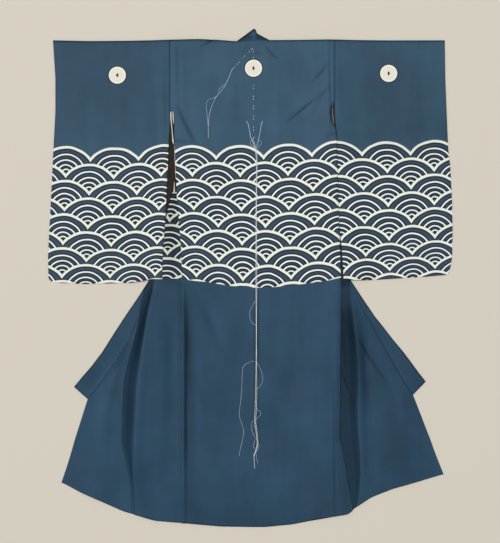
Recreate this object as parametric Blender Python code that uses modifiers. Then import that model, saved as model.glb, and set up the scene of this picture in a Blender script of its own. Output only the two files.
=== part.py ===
"""A small child's one-width kimono, laid flat on its front with the back up.

The cloth lies along XY. +Y runs towards the collar, +X to the right as seen from above, and the
surface that it lies on is Z = 0. The tables give places in millimetres: x runs from the centre of
the back, positive to the right, and down runs from the shoulder fold to the hem. A height z is
that of the cloth's lower face above the surface. Left and right are those of the view from above.
"""

import math

import bmesh
import bpy

MM = 0.001

# Driving sizes in millimetres
LOOM_WIDTH = 337.5
LEFT_SEAM = -172.5
RIGHT_SEAM = LEFT_SEAM + LOOM_WIDTH
BODY_LENGTH = 997.4
LEFT_REACH = -422.0
RIGHT_REACH = 407.0
NAPE_RISE = 24.0
CLOTH = 1.2
COLLAR_BAND = 2.3
LINING = 0.9
SEAM_GAP = 0.3
LAYER_GAP = 0.4
HALF_GAP = SEAM_GAP / 2

# Rows of the body panels are level down to this depth, and below it they bend to the hem's curve
LEVEL_DEPTH = 820.0
ROW_STEP = 33.0

# Heights of the layers that lie on each other under the back
FRONT_REST = COLLAR_BAND + LAYER_GAP
BACK_REST = FRONT_REST + CLOTH + LAYER_GAP
LINING_REST = FRONT_REST + CLOTH + SEAM_GAP

HEM = (  # x, down
    (-395.0, 905.5), (-354.0, 927.0), (-310.0, 946.0), (-266.0, 966.0), (-237.0, 974.0),
    (-204.0, 984.0), (-141.5, 989.5), (-65.0, 996.5), (22.5, BODY_LENGTH), (77.0, 992.0),
    (130.0, 982.0), (167.0, 975.0), (193.0, 970.0), (201.5, 963.0), (213.0, 953.5),
    (240.0, 937.0), (284.0, 919.0), (357.0, 898.0), (389.0, 889.0),
)

# The back panel's side edges as depth, x
BACK_LEFT_EDGE = (
    (0, LEFT_SEAM + HALF_GAP), (146, LEFT_SEAM + HALF_GAP), (213, -164), (321, -158),
    (386, -152), (459, -147), (BODY_LENGTH, -146),
)
BACK_RIGHT_EDGE = (
    (0, RIGHT_SEAM - HALF_GAP), (146, RIGHT_SEAM - HALF_GAP), (204, 170), (343, 173),
    (484, 178), (589, 177), (666, 176), (815, 174), (838, 180), (884, 187), (930, 192.5),
    (985, 201), (BODY_LENGTH, 201.5),
)

# The seams between front and overlap, and each overlap's outer edge: collar seam, then front edge
OVERLAP_TOP = 574.0
LEFT_COLLAR_END = 735.0
RIGHT_COLLAR_END = 726.0
LEFT_OVERLAP_SEAM = (
    (OVERLAP_TOP, -236), (600, -242), (627, -249), (658, -257), (690, -267), (735, -269),
    (825, -271), (870, -263), (918, -253), (BODY_LENGTH, -250),
)
RIGHT_OVERLAP_SEAM = ((OVERLAP_TOP, 232), (BODY_LENGTH, 248))
LEFT_COLLAR_SEAM = (
    (OVERLAP_TOP, -240.0), (600, -250), (613, -255.5), (658, -282), (690, -306), (712, -321),
    (LEFT_COLLAR_END, -341),
)
RIGHT_COLLAR_SEAM = (
    (OVERLAP_TOP, 236.0), (596, 248), (627, 265), (656, 282), (683, 297), (702, 309),
    (RIGHT_COLLAR_END, 326),
)
LEFT_FRONT_EDGE = ((LEFT_COLLAR_END, -341), (LEVEL_DEPTH, -368), (BODY_LENGTH, -395))
RIGHT_FRONT_EDGE = ((RIGHT_COLLAR_END, 326), (LEVEL_DEPTH, 362.4), (BODY_LENGTH, 389))

# The back across its width: a ridge along the left seam, a trough beside it, a flat middle
# between two shelves that lie on the hidden fronts, and a fold rolled up along the right seam
BACK_COLUMNS = (
    "depth", "edge_left_z", "trough_z", "shelf_left_x", "shelf_left_z", "middle_z",
    "shelf_right_x", "shelf_right_z", "fold_z", "edge_right_z",
)
BACK_SECTIONS = (
    (0, BACK_REST, BACK_REST, -80, BACK_REST, BACK_REST, 80, BACK_REST, BACK_REST, BACK_REST),
    (60, 4.6, BACK_REST, -48, BACK_REST, 3.4, 45, BACK_REST, 4.5, BACK_REST),
    (145, 5.8, 5.2, -62, BACK_REST, 1.6, 58, BACK_REST, 4.8, BACK_REST),
    (300, 5.9, 5.3, -97, BACK_REST, 1.2, 94, BACK_REST, 5.0, 4.4),
    (400, 5.2, 4.5, -112, BACK_REST, 0.8, 109, BACK_REST, 5.2, 4.5),
    (470, 5.2, BACK_REST, -118, BACK_REST, 0.5, 120, BACK_REST, 5.6, 4.7),
    (530, 5.3, 2.2, -112, 1.5, 0.2, 122, 3.5, 8.0, 6.0),
    (600, 5.3, 1.2, -110, 1.0, 0.0, 125, 3.0, 12.0, 8.5),
    (700, 5.3, 1.0, -108, 1.2, 0.0, 125, 3.0, 12.5, 8.5),
    (800, 5.1, 1.0, -108, 1.5, 0.0, 130, 3.0, 10.0, 7.0),
    (900, 4.8, 1.2, -108, 1.5, 0.0, 140, 2.5, 8.0, 5.5),
    (BODY_LENGTH, 4.3, 1.5, -108, 1.2, 0.0, 150, 2.0, 6.0, 4.5),
)
TROUGH_FROM_EDGE = 11.0
SHELF_SLOPE = 40.0
FOLD_FROM_EDGE = 7.0
BACK_STEPS = (3, 3, 3, 5, 3, 5, 2)

# The cloth turned over the shoulder, as places on its inner face
SHOULDER_ROLL = ((1.4, FRONT_REST), (1.6, 3.6), (4.0, BACK_REST))  # down, z

# Each front: hidden under the back at the top, and turned out to the side below the sleeves
LEFT_FRONT_COLUMNS = ("depth", "inner_x", "inner_z", "crest_x", "crest_z", "outer_x", "outer_z")
LEFT_FRONT_SECTIONS = (
    (0, -36, FRONT_REST, -104, FRONT_REST, LEFT_SEAM + HALF_GAP, FRONT_REST),
    (190, -84, FRONT_REST, -128, FRONT_REST, LEFT_SEAM + HALF_GAP, FRONT_REST),
    (230, -93, FRONT_REST, -138, FRONT_REST, -183, FRONT_REST),
    (300, -110, FRONT_REST, -150, FRONT_REST, -190, FRONT_REST),
    (400, -125, FRONT_REST, -165, FRONT_REST, -202, FRONT_REST),
    (470, -144.5, FRONT_REST, -185, FRONT_REST, -206, FRONT_REST),
    (500, -144.5, FRONT_REST, -200, 3.2, -210, FRONT_REST),
    (530, -144.5, 2.6, -208, 8.0, -223, FRONT_REST),
    (560, -144.5, 2.5, -215, 12.0, -233, FRONT_REST),
    (OVERLAP_TOP, -144.5, 2.5, -219, 13.0, -236, FRONT_REST),
    (600, -144.5, 2.5, -223, 14.5, -242, 1.2),
    (658, -144.5, 2.5, -234, 17.0, -257, 0.5),
    (700, -144.5, 2.5, -239, 18.0, -267, 0.3),
    (757, -144.5, 2.5, -243, 18.0, -269, 0.3),
    (825, -144.0, 2.5, -247, 16.0, -271, 0.3),
    (870, -144.0, 2.4, -245, 12.0, -263, 0.3),
    (918, -143.5, 2.2, -243, 8.0, -253, 0.3),
    (950, -143.5, 2.1, -240, 5.0, -251, 0.3),
    (BODY_LENGTH, -143.5, 1.9, -236, 3.5, -250, 0.3),
)
LEFT_FRONT_STEPS = (1, 4, 6)
RIGHT_FRONT_COLUMNS = (
    "depth", "inner_x", "inner_z", "valley_x", "valley_z", "lip_x", "lip_z", "outer_x", "outer_z",
)
RIGHT_FRONT_SECTIONS = (
    (0, 32, FRONT_REST, 80, FRONT_REST, 122, FRONT_REST, RIGHT_SEAM - HALF_GAP, FRONT_REST),
    (190, 82, FRONT_REST, 110, FRONT_REST, 138, FRONT_REST, RIGHT_SEAM - HALF_GAP, FRONT_REST),
    (230, 91, FRONT_REST, 118, FRONT_REST, 146, FRONT_REST, 174, FRONT_REST),
    (300, 106, FRONT_REST, 132, FRONT_REST, 158, FRONT_REST, 182, FRONT_REST),
    (400, 122, FRONT_REST, 146, FRONT_REST, 170, FRONT_REST, 191, FRONT_REST),
    (470, 173, FRONT_REST, 181, FRONT_REST, 189, FRONT_REST, 195, FRONT_REST),
    (500, 175.5, FRONT_REST, 185, FRONT_REST, 193, 3.2, 198, FRONT_REST),
    (533, 175.5, 2.6, 187, FRONT_REST, 201, 5.0, 214, FRONT_REST),
    (560, 175, 1.5, 188, FRONT_REST, 205, 7.0, 227, FRONT_REST),
    (OVERLAP_TOP, 174.5, 0.8, 188, 1.2, 208, 8.0, 232, FRONT_REST),
    (600, 174.5, 0.5, 189, 0.4, 212, 9.0, 233, 0.9),
    (658, 173.5, 0.5, 190, 0.3, 218, 9.5, 235.2, 0.4),
    (708, 173, 0.5, 190, 0.3, 217, 9.0, 237, 0.3),
    (771, 172, 0.5, 191, 0.3, 215, 6.5, 239.5, 0.3),
    (826, 173, 0.5, 196, 0.3, 221, 5.5, 241.5, 0.3),
    (884, 184, 0.5, 203, 0.3, 225, 5.0, 243.7, 0.3),
    (940, 191.5, 0.5, 207, 0.3, 222, 4.5, 245.8, 0.3),
    (BODY_LENGTH, 199, 0.5, 208.5, 0.3, 219, 3.0, 248, 0.3),
)
RIGHT_FRONT_STEPS = (3, 3, 3, 1)

# A front is level for this far beside its outer seam
SEAM_LEVEL = 3.0

# Depths that a row has to meet, because an edge turns there
FRONT_TOP = 4.5
LEFT_KEY_DEPTHS = (FRONT_TOP, 190, 230, 300, 400, 470, 500, 530, 560, OVERLAP_TOP, 600, 658, 700,
                   LEFT_COLLAR_END, 825, 870, 918, 950, BODY_LENGTH)
RIGHT_KEY_DEPTHS = (FRONT_TOP, 190, 230, 300, 400, 470, 500, 533, 560, OVERLAP_TOP, 600, 658,
                    RIGHT_COLLAR_END, 771, 826, 884, 940, BODY_LENGTH)
BACK_KEY_DEPTHS = (12, 60, 145, 300, 400, 470, 530, 600, 700, 815, 884, 940, BODY_LENGTH)

# Each overlap is a gore that swells in the middle and settles onto the surface below its top
OVERLAP_STEPS = 6
OVERLAP_SWELL = 3.0
SWELL_RISE = 150.0
OVERLAP_SETTLE = 60.0

# The collar band: one strip from the left end round the nape to the right end
COLLAR_COLUMNS = ("inner_down", "inner_x", "outer_x", "outer_down")
NAPE_SECTION = (14, -1, -1, -NAPE_RISE)
LEFT_COLLAR_SECTIONS = (
    NAPE_SECTION,
    (22, -6, -17, -12),
    (32, -10, -34, 0),
    (48, -16, -48, 34),
    (212, -74, -108, 198),
    (405, -146, -180, 392),
    (507, -188, -217, 494),
    (547, -213, -240, 530),
    (OVERLAP_TOP, -240, -262, 562),
    (600, -250, -275, 582),
    (613, -255.5, -283, 594),
    (658, -282, -312, 640),
    (690, -306, -335, 670),
    (712, -321, -350, 687),
    (LEFT_COLLAR_END, -341, -369, 710),
)
RIGHT_COLLAR_SECTIONS = (
    NAPE_SECTION,
    (22, 4, 15, -11),
    (32, 8, 32, 0),
    (48, 14, 43, 34),
    (212, 66, 99, 198),
    (405, 132, 165, 392),
    (509, 171, 198, 491),
    (548, 207, 227, 535),
    (OVERLAP_TOP, 236, 248, 566),
    (596, 248, 265, 587),
    (627, 265, 285, 613),
    (656, 282, 306, 638),
    (683, 297, 324, 662),
    (702, 309, 337, 680),
    (RIGHT_COLLAR_END, 326, 352, 699),
)
COLLAR_STEPS = 2

# The sleeves: flat tubes folded at the top and bottom, open at both sides
SLEEVE_FOLD = 2 * CLOTH + 0.6
SLEEVE_SWELL = 1.4
SLEEVE_LAYER_STEPS = 11
FOLD_STEPS = 4
SLEEVE_STATIONS = (0.0, 0.06, 0.12, 0.18, 0.25, 0.36, 0.55, 0.78, 1.0)
LIFT_SLOPE = 45.0
LEFT_SLEEVE_INNER = (  # down, x
    (0, LEFT_SEAM - HALF_GAP), (171, LEFT_SEAM - HALF_GAP), (213, -174), (253, -176),
    (292, -179), (350, -181), (407, -186), (450, -188), (490, -188),
)
LEFT_SLEEVE_OUTER = (
    (0, -412), (78, -407), (145, -407), (222, -411), (304, -415), (364, -418), (433, -421.8),
    (454, LEFT_REACH), (488, -421),
)
LEFT_SLEEVE_BOTTOM = (  # x, down
    (-421, 488), (-413, 496), (-348, 499), (-258, 497), (-228, 493), (-210, 489), (-188, 489.5),
)
LEFT_SLEEVE_LIFT = (  # down, z
    (0, FRONT_REST), (145, FRONT_REST), (175, 5.7), (330, 5.7), (400, 5.0), (500, 5.0),
)
LEFT_LIFT_REACH = ((0, -172.5), (190, -180), (230, -193), (300, -200), (400, -212), (500, -230))
RIGHT_SLEEVE_INNER = (
    (0, RIGHT_SEAM + HALF_GAP), (146, RIGHT_SEAM + HALF_GAP), (157, 167), (185, 171.5),
    (204, 172.5), (274, 173), (343, 175), (412, 178), (484, 180), (490, 180.5),
)
RIGHT_SLEEVE_OUTER = (
    (0, 391), (78, 392), (153, 395), (223, 398), (256, 402), (334, 406), (394, RIGHT_REACH),
    (445, 406), (472, 401), (480, 397),
)
RIGHT_SLEEVE_BOTTOM = ((181, 487.5), (198, 491), (241, 491), (292, 488), (343, 485), (397, 480))
RIGHT_SLEEVE_LIFT = ((0, FRONT_REST), (145, FRONT_REST), (190, 4.6), (400, 4.8), (500, 4.8))
RIGHT_LIFT_REACH = ((0, 165), (190, 172), (230, 184), (300, 192), (400, 201), (500, 212))

# The brown lining of the left front, where the open armhole shows it
LINING_COLUMNS = ("left_x", "left_down", "right_x", "right_down")
LINING_SECTIONS = (
    (-172.0, 150, -167, 150),
    (-172.0, 176, -165, 180),
    (-177.0, 200, -161, 212),
    (-180.0, 238, -159, 258),
    (-183.0, 280, -157, 308),
    (-185.0, 318, -154, 358),
)
LINING_STEPS = 2

# The loose threads, each from where it leaves the cloth, as x, down
BUNDLE_DIAMETER = 4.0
THREAD_DIAMETER = 2.0
THREAD_CLEARANCE = 0.5
THREAD_POINT_EVERY = 3.0  # diameters
ROUTE_STEPS = 24  # between two points of a route, to measure its length
LONG_ROUTE = (
    (-3.3, 204), (-1, 209), (1.6, 217.7), (3.5, 227.6), (5.3, 240.5), (4.9, 280), (4.6, 327),
    (4.9, 430), (4.6, 532), (4.8, 634), (4.5, 716.5), (3.9, 744), (3.3, 761), (2.3, 779),
    (3.3, 788), (5.5, 804.6), (7.2, 822), (6.2, 833), (2.9, 843.6), (0, 853), (1, 880),
)
SIDE_ROUTE = (
    (0.5, 657), (-5, 658), (-12.3, 661), (-19.5, 665.5), (-22.8, 672), (-24.2, 684), (-24.6, 700),
    (-26.4, 731.6), (-29, 752), (-30.1, 767.7), (-28, 777), (-25, 785.4), (-21.3, 801.6),
    (-24, 819.8), (-27.3, 834.4), (-30.5, 851),
)
SHORT_ROUTE = (
    (-39.4, 54.9), (-41.6, 57), (-44.5, 59.5), (-47, 65), (-50.8, 75.2), (-56, 86), (-61.3, 96.4),
    (-69.5, 107), (-77.9, 117.3), (-84, 129), (-88.4, 141.5), (-91.3, 153), (-92.9, 165.4),
    (-93.6, 182), (-93.5, 200),
)
LEFT_END_ROUTE = ((-6.2, 200), (-7.2, 196), (-8.8, 187), (-10.8, 177), (-12.7, 170), (-15.8, 165))
RIGHT_END_ROUTE = (
    (6.6, 214), (8.2, 208), (10, 200), (11.2, 194), (12.7, 188), (14, 178), (15.4, 172), (17, 165.5),
)

# Where the box's middle lies in the tables' frame
MIDDLE_X = (LEFT_REACH + RIGHT_REACH) / 2
MIDDLE_DOWN = (BODY_LENGTH - NAPE_RISE) / 2

SILK_BLUE = (0.040, 0.080, 0.130, 1.0)
SILK_BROWN = (0.034, 0.018, 0.010, 1.0)
THREAD_WHITE = (0.520, 0.560, 0.560, 1.0)


def blend(low, high, share):
    return low + (high - low) * share


def between(table, key, column=1):
    """The value of a column of a table at a key of its first column, which rises down the table."""
    if key <= table[0][0]:
        return table[0][column]
    for low, high in zip(table, table[1:]):
        if key <= high[0]:
            return blend(low[column], high[column], (key - low[0]) / (high[0] - low[0]))
    return table[-1][column]


def section_at(columns, sections, key):
    """A row of a table at a key, as a dictionary of its named columns."""
    return {name: between(sections, key, index) for index, name in enumerate(columns)}


def ease(share):
    """0 to 1 with a level start and end."""
    share = min(1.0, max(0.0, share))
    return 0.5 - 0.5 * math.cos(math.pi * share)


def drop(x, depth):
    """How far down a row's point lies: level rows at first, then rows bent to the hem."""
    if depth <= LEVEL_DEPTH:
        return depth
    share = (depth - LEVEL_DEPTH) / (BODY_LENGTH - LEVEL_DEPTH)
    return blend(LEVEL_DEPTH, between(HEM, x), share)


def place(x, down, z):
    return ((x - MIDDLE_X) * MM, (MIDDLE_DOWN - down) * MM, z * MM)


def rows_through(key_depths):
    """Depths from the first key to the last that meet every key, about ROW_STEP apart."""
    depths = [key_depths[0]]
    for low, high in zip(key_depths, key_depths[1:]):
        count = max(1, round((high - low) / ROW_STEP))
        depths += [blend(low, high, step / count) for step in range(1, count + 1)]
    return depths


def across(stations, steps):
    """A row's points as x, z: soft curves between stations, with a number of steps for each."""
    points = [stations[0]]
    for (low_x, low_z), (high_x, high_z), count in zip(stations, stations[1:], steps):
        for step in range(1, count + 1):
            share = step / count
            points.append((blend(low_x, high_x, share), blend(low_z, high_z, ease(share))))
    return points


def silk(name, colour, roughness):
    material = bpy.data.materials.new(name)
    material.use_nodes = True
    shader = material.node_tree.nodes["Principled BSDF"]
    shader.inputs["Base Color"].default_value = colour
    shader.inputs["Roughness"].default_value = roughness
    return material


def add_object(name, data, material):
    item = bpy.data.objects.new(name, data)
    item.data.materials.append(material)
    pieces.objects.link(item)
    return item


def cloth(name, rows, material, thickness, closed=False):
    """A cloth wall: a grid whose points go to the rows' places, made solid.

    An open panel's rows give its lower face and the wall grows upwards. A closed tube's rows are
    rings of its outer face and the wall grows inwards.
    """
    rings, across_count = len(rows), len(rows[0])
    surface = bmesh.new()
    bmesh.ops.create_grid(
        surface, x_segments=across_count - 1, y_segments=rings - 1, size=1.0
    )
    for vertex in surface.verts:
        column = round((vertex.co.x + 1) / 2 * (across_count - 1))
        row = round((1 - vertex.co.y) / 2 * (rings - 1))
        vertex.co = place(*rows[row][column])
    if closed:
        bmesh.ops.remove_doubles(surface, verts=surface.verts, dist=0.01 * MM)
    mesh = bpy.data.meshes.new(name)
    surface.to_mesh(mesh)
    surface.free()
    mesh.shade_smooth()
    panel = add_object(name, mesh, material)
    wall = panel.modifiers.new("wall", "SOLIDIFY")
    wall.thickness = thickness * MM
    wall.offset = -1.0 if closed else 1.0
    wall.use_even_offset = True
    return panel


def back_stations(depth):
    row = section_at(BACK_COLUMNS, BACK_SECTIONS, depth)
    left, right = between(BACK_LEFT_EDGE, depth), between(BACK_RIGHT_EDGE, depth)
    return [
        (left, row["edge_left_z"]),
        (left + TROUGH_FROM_EDGE, row["trough_z"]),
        (row["shelf_left_x"], row["shelf_left_z"]),
        (row["shelf_left_x"] + SHELF_SLOPE, row["middle_z"]),
        (row["shelf_right_x"] - SHELF_SLOPE, row["middle_z"]),
        (row["shelf_right_x"], row["shelf_right_z"]),
        (right - FOLD_FROM_EDGE, row["fold_z"]),
        (right, row["edge_right_z"]),
    ]


def back_height(x, depth):
    """The height of the back's lower face."""
    stations = back_stations(depth)
    for (low_x, low_z), (high_x, high_z) in zip(stations, stations[1:]):
        if x <= high_x:
            return blend(low_z, high_z, ease((x - low_x) / (high_x - low_x)))
    return stations[-1][1]


def make_back():
    rows = [
        [(x, down, z) for x, _ in across(back_stations(0), BACK_STEPS)] for down, z in SHOULDER_ROLL
    ]
    for depth in rows_through(BACK_KEY_DEPTHS):
        points = across(back_stations(depth), BACK_STEPS)
        rows.append([(x, drop(x, depth), z) for x, z in points])
    return cloth("back", rows, blue, CLOTH)


def make_left_front():
    rows = []
    for depth in rows_through(LEFT_KEY_DEPTHS):
        row = section_at(LEFT_FRONT_COLUMNS, LEFT_FRONT_SECTIONS, depth)
        stations = [
            (row["outer_x"] + HALF_GAP, row["outer_z"]),
            (row["outer_x"] + SEAM_LEVEL, row["outer_z"]),
            (row["crest_x"], row["crest_z"]),
            (row["inner_x"], row["inner_z"]),
        ]
        points = across(stations, LEFT_FRONT_STEPS)
        rows.append([(x, drop(x, depth), z) for x, z in points])
    return cloth("front_left", rows, blue, CLOTH)


def make_right_front():
    rows = []
    for depth in rows_through(RIGHT_KEY_DEPTHS):
        row = section_at(RIGHT_FRONT_COLUMNS, RIGHT_FRONT_SECTIONS, depth)
        stations = [
            (row["inner_x"], row["inner_z"]),
            (row["valley_x"], row["valley_z"]),
            (row["lip_x"], row["lip_z"]),
            (row["outer_x"] - SEAM_LEVEL, row["outer_z"]),
            (row["outer_x"] - HALF_GAP, row["outer_z"]),
        ]
        points = across(stations, RIGHT_FRONT_STEPS)
        rows.append([(x, drop(x, depth), z) for x, z in points])
    return cloth("front_right", rows, blue, CLOTH)


def make_overlap(name, key_depths, seam, collar_seam, front_edge, collar_end, seam_sections):
    """A gore between its seam to the front and its outer edge."""
    outward = 1 if between(collar_seam, collar_end) > between(seam, collar_end) else -1
    rows = []
    for depth in rows_through(key_depths):
        if depth < OVERLAP_TOP:
            continue
        outer_edge = collar_seam if depth <= collar_end else front_edge
        seam_x = between(seam, depth) + outward * HALF_GAP
        outer_x = between(outer_edge, depth) - outward * HALF_GAP
        seam_z = between(seam_sections, depth, -1)
        outer_z = seam_z * (1 - ease((depth - OVERLAP_TOP) / OVERLAP_SETTLE))
        swell = OVERLAP_SWELL * ease((depth - OVERLAP_TOP) / SWELL_RISE)
        row = []
        for step in range(OVERLAP_STEPS + 1):
            share = step / OVERLAP_STEPS
            x = blend(seam_x, outer_x, share)
            z = blend(seam_z, outer_z, ease(share * 2)) + swell * math.sin(math.pi * share) ** 2
            row.append((x, drop(x, depth), z))
        rows.append(row if outward > 0 else row[::-1])
    return cloth(name, rows, blue, CLOTH)


def collar_half(sections, key_depths, outward):
    """Rows of the band from the nape to one end, each from its outer to its inner edge."""
    depths = [section[0] for section in sections if section[0] < OVERLAP_TOP]
    depths += [
        depth for depth in rows_through(key_depths) if OVERLAP_TOP <= depth <= sections[-1][0]
    ]
    rows = []
    for depth in depths:
        row = section_at(COLLAR_COLUMNS, sections, depth)
        inner_x = row["inner_x"] + outward * HALF_GAP
        points = []
        for step in range(COLLAR_STEPS + 1):
            share = step / COLLAR_STEPS
            x = blend(row["outer_x"], inner_x, share)
            points.append((x, blend(row["outer_down"], depth, share), 0.0))
        rows.append(points)
    return rows


def make_collar():
    left = collar_half(LEFT_COLLAR_SECTIONS, LEFT_KEY_DEPTHS, -1)
    right = collar_half(RIGHT_COLLAR_SECTIONS, RIGHT_KEY_DEPTHS, 1)
    rows = [row[::-1] for row in left[:0:-1]] + [row[::-1] for row in right]
    return cloth("collar", rows, blue, COLLAR_BAND)


def sleeve_ring(inner, outer, bottom, lift, reach, share):
    """One ring of a sleeve's outer face, from the lower layer round the bottom to the upper one."""
    low = between(bottom, blend(inner[-1][1], outer[-1][1], share))
    radius = SLEEVE_FOLD / 2
    middle_swell = SLEEVE_SWELL * math.sin(math.pi * share)
    profile = []
    for step in range(SLEEVE_LAYER_STEPS + 1):
        profile.append((blend(radius, low - radius, step / SLEEVE_LAYER_STEPS), 0.0))
    for step in range(1, FOLD_STEPS):
        turn = math.pi * step / FOLD_STEPS
        profile.append((low - radius + radius * math.sin(turn), radius - radius * math.cos(turn)))
    for step in range(SLEEVE_LAYER_STEPS + 1):
        down_share = 1 - step / SLEEVE_LAYER_STEPS
        swell = middle_swell * math.sin(math.pi * down_share)
        profile.append((blend(radius, low - radius, down_share), SLEEVE_FOLD + swell))
    for step in range(1, FOLD_STEPS):
        turn = math.pi * step / FOLD_STEPS
        profile.append((radius - radius * math.sin(turn), radius + radius * math.cos(turn)))
    profile.append(profile[0])
    ring = []
    for down, z in profile:
        x = blend(between(inner, down), between(outer, down), share)
        beyond = abs(x - MIDDLE_X) - abs(between(reach, down) - MIDDLE_X)
        raised = between(lift, down) * ease(1 - beyond / LIFT_SLOPE)
        ring.append((x, down, z + raised))
    return ring


def make_sleeve(name, inner, outer, bottom, lift, reach):
    rings = [
        sleeve_ring(inner, outer, bottom, lift, reach, share) for share in SLEEVE_STATIONS
    ]
    if outer[0][1] < inner[0][1]:
        rings.reverse()
    return cloth(name, rings, blue, CLOTH, closed=True)


def make_lining():
    rows = []
    for left_x, left_down, right_x, right_down in LINING_SECTIONS:
        row = []
        for step in range(LINING_STEPS + 1):
            share = step / LINING_STEPS
            x = blend(left_x, right_x, share)
            row.append((x, blend(left_down, right_down, share), LINING_REST))
        rows.append(row)
    return cloth("lining_left", rows, brown, LINING)


def smooth_route(route, spacing):
    """Places evenly spaced along a smooth curve through a route's points."""
    ends = (
        tuple(2 * a - b for a, b in zip(route[0], route[1])),
        tuple(2 * a - b for a, b in zip(route[-1], route[-2])),
    )
    control = (ends[0], *route, ends[1])
    fine = [route[0]]
    for p0, p1, p2, p3 in zip(control, control[1:], control[2:], control[3:]):
        for step in range(1, ROUTE_STEPS + 1):
            t = step / ROUTE_STEPS
            fine.append(
                tuple(
                    b + 0.5 * t * (c - a + t * (2 * a - 5 * b + 4 * c - d + t * (3 * b - a - 3 * c + d)))
                    for a, b, c, d in zip(p0, p1, p2, p3)
                )
            )
    lengths = [0.0]
    for a, b in zip(fine, fine[1:]):
        lengths.append(lengths[-1] + math.dist(a, b))
    count = round(lengths[-1] / spacing)
    by_length = [(length, *point) for length, point in zip(lengths, fine)]
    stops = [lengths[-1] * index / count for index in range(count + 1)]
    return [(between(by_length, stop, 1), between(by_length, stop, 2)) for stop in stops]


def make_thread(name, route, diameter):
    """A thread that lies on the back."""
    curve = bpy.data.curves.new(name, "CURVE")
    curve.dimensions = "3D"
    curve.bevel_depth = diameter / 2 * MM
    curve.bevel_resolution = 2
    curve.use_fill_caps = True
    points = smooth_route(route, THREAD_POINT_EVERY * diameter)
    spline = curve.splines.new("POLY")
    spline.points.add(len(points) - 1)
    for point, (x, down) in zip(spline.points, points):
        z = back_height(x, down) + CLOTH + THREAD_CLEARANCE + diameter / 2
        point.co = (*place(x, down, z), 1.0)
    return add_object(name, curve, white)


for item in list(bpy.data.objects):
    bpy.data.objects.remove(item)
pieces = bpy.data.collections.new("kimono")
bpy.context.scene.collection.children.link(pieces)
blue = silk("indigo_silk", SILK_BLUE, 0.55)
brown = silk("brown_silk", SILK_BROWN, 0.6)
white = silk("silk_thread", THREAD_WHITE, 0.5)

make_back()
make_left_front()
make_right_front()
make_overlap(
    "overlap_left", LEFT_KEY_DEPTHS, LEFT_OVERLAP_SEAM, LEFT_COLLAR_SEAM, LEFT_FRONT_EDGE,
    LEFT_COLLAR_END, LEFT_FRONT_SECTIONS,
)
make_overlap(
    "overlap_right", RIGHT_KEY_DEPTHS, RIGHT_OVERLAP_SEAM, RIGHT_COLLAR_SEAM, RIGHT_FRONT_EDGE,
    RIGHT_COLLAR_END, RIGHT_FRONT_SECTIONS,
)
make_collar()
make_sleeve(
    "sleeve_left", LEFT_SLEEVE_INNER, LEFT_SLEEVE_OUTER, LEFT_SLEEVE_BOTTOM, LEFT_SLEEVE_LIFT,
    LEFT_LIFT_REACH,
)
make_sleeve(
    "sleeve_right", RIGHT_SLEEVE_INNER, RIGHT_SLEEVE_OUTER, RIGHT_SLEEVE_BOTTOM, RIGHT_SLEEVE_LIFT,
    RIGHT_LIFT_REACH,
)
make_lining()
make_thread("thread_long", LONG_ROUTE, BUNDLE_DIAMETER)
make_thread("thread_side", SIDE_ROUTE, THREAD_DIAMETER)
make_thread("thread_short", SHORT_ROUTE, THREAD_DIAMETER)
make_thread("thread_end_left", LEFT_END_ROUTE, THREAD_DIAMETER)
make_thread("thread_end_right", RIGHT_END_ROUTE, THREAD_DIAMETER)
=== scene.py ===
"""A small child's one-width ceremonial kimono of indigo silk, laid flat with its back up.

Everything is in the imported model's frame: +Y towards the collar, +X to the right as seen from
above, and the surface that the cloth lies on at Z = 0. The tables give places in millimetres: x
from the centre of the back, positive to the right, and down from the shoulder fold to the hem.
Left and right are those of the view from above.
"""

import math

import bpy
import numpy as np
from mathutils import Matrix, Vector


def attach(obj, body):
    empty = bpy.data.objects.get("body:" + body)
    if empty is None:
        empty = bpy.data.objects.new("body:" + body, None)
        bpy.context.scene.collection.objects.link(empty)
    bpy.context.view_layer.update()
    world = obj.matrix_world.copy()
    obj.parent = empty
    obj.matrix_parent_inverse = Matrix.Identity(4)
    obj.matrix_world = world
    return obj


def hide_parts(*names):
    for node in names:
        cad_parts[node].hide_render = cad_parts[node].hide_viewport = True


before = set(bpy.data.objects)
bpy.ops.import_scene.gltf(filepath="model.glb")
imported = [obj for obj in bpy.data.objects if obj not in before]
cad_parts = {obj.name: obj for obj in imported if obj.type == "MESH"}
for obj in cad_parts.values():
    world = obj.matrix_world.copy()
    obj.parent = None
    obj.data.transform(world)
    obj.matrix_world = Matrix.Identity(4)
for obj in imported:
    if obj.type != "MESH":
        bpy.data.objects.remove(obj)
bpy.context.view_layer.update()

# The surface, the light and the camera. The garment lies on plain pale paper under one large soft
# lamp to the upper left, and the camera looks straight down, as in the photograph.
SURFACE_SIZE = 9.0
LAMP_SIZE = 4.0
LAMP_POWER = 660.0
LAMP_PLACE = (-1.4, 2.0, 10.0)
CAMERA_PLACE = (-0.0007, 0.0132, 2.63)
CAMERA_LENS = 85.0
CAMERA_SENSOR = 36.0
PAPER = "dbd5c9"
ROOM_LIGHT = "f4f1ea"
ROOM_STRENGTH = 0.39


def linear(hex_colour):
    """An sRGB hex colour as linear RGBA."""
    parts = [int(hex_colour[start:start + 2], 16) / 255 for start in (0, 2, 4)]
    return (*(p / 12.92 if p <= 0.04045 else ((p + 0.055) / 1.055) ** 2.4 for p in parts), 1.0)


def add(tree, kind, inputs=None, **settings):
    """Adds a node with its settings and its inputs, as values or links; gives its first output."""
    made = tree.nodes.new("ShaderNode" + kind)
    for name, value in settings.items():
        setattr(made, name, value)
    for name, value in (inputs or {}).items():
        if isinstance(value, bpy.types.NodeSocket):
            tree.links.new(value, made.inputs[name])
        else:
            made.inputs[name].default_value = value
    return made.outputs[0]


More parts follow.
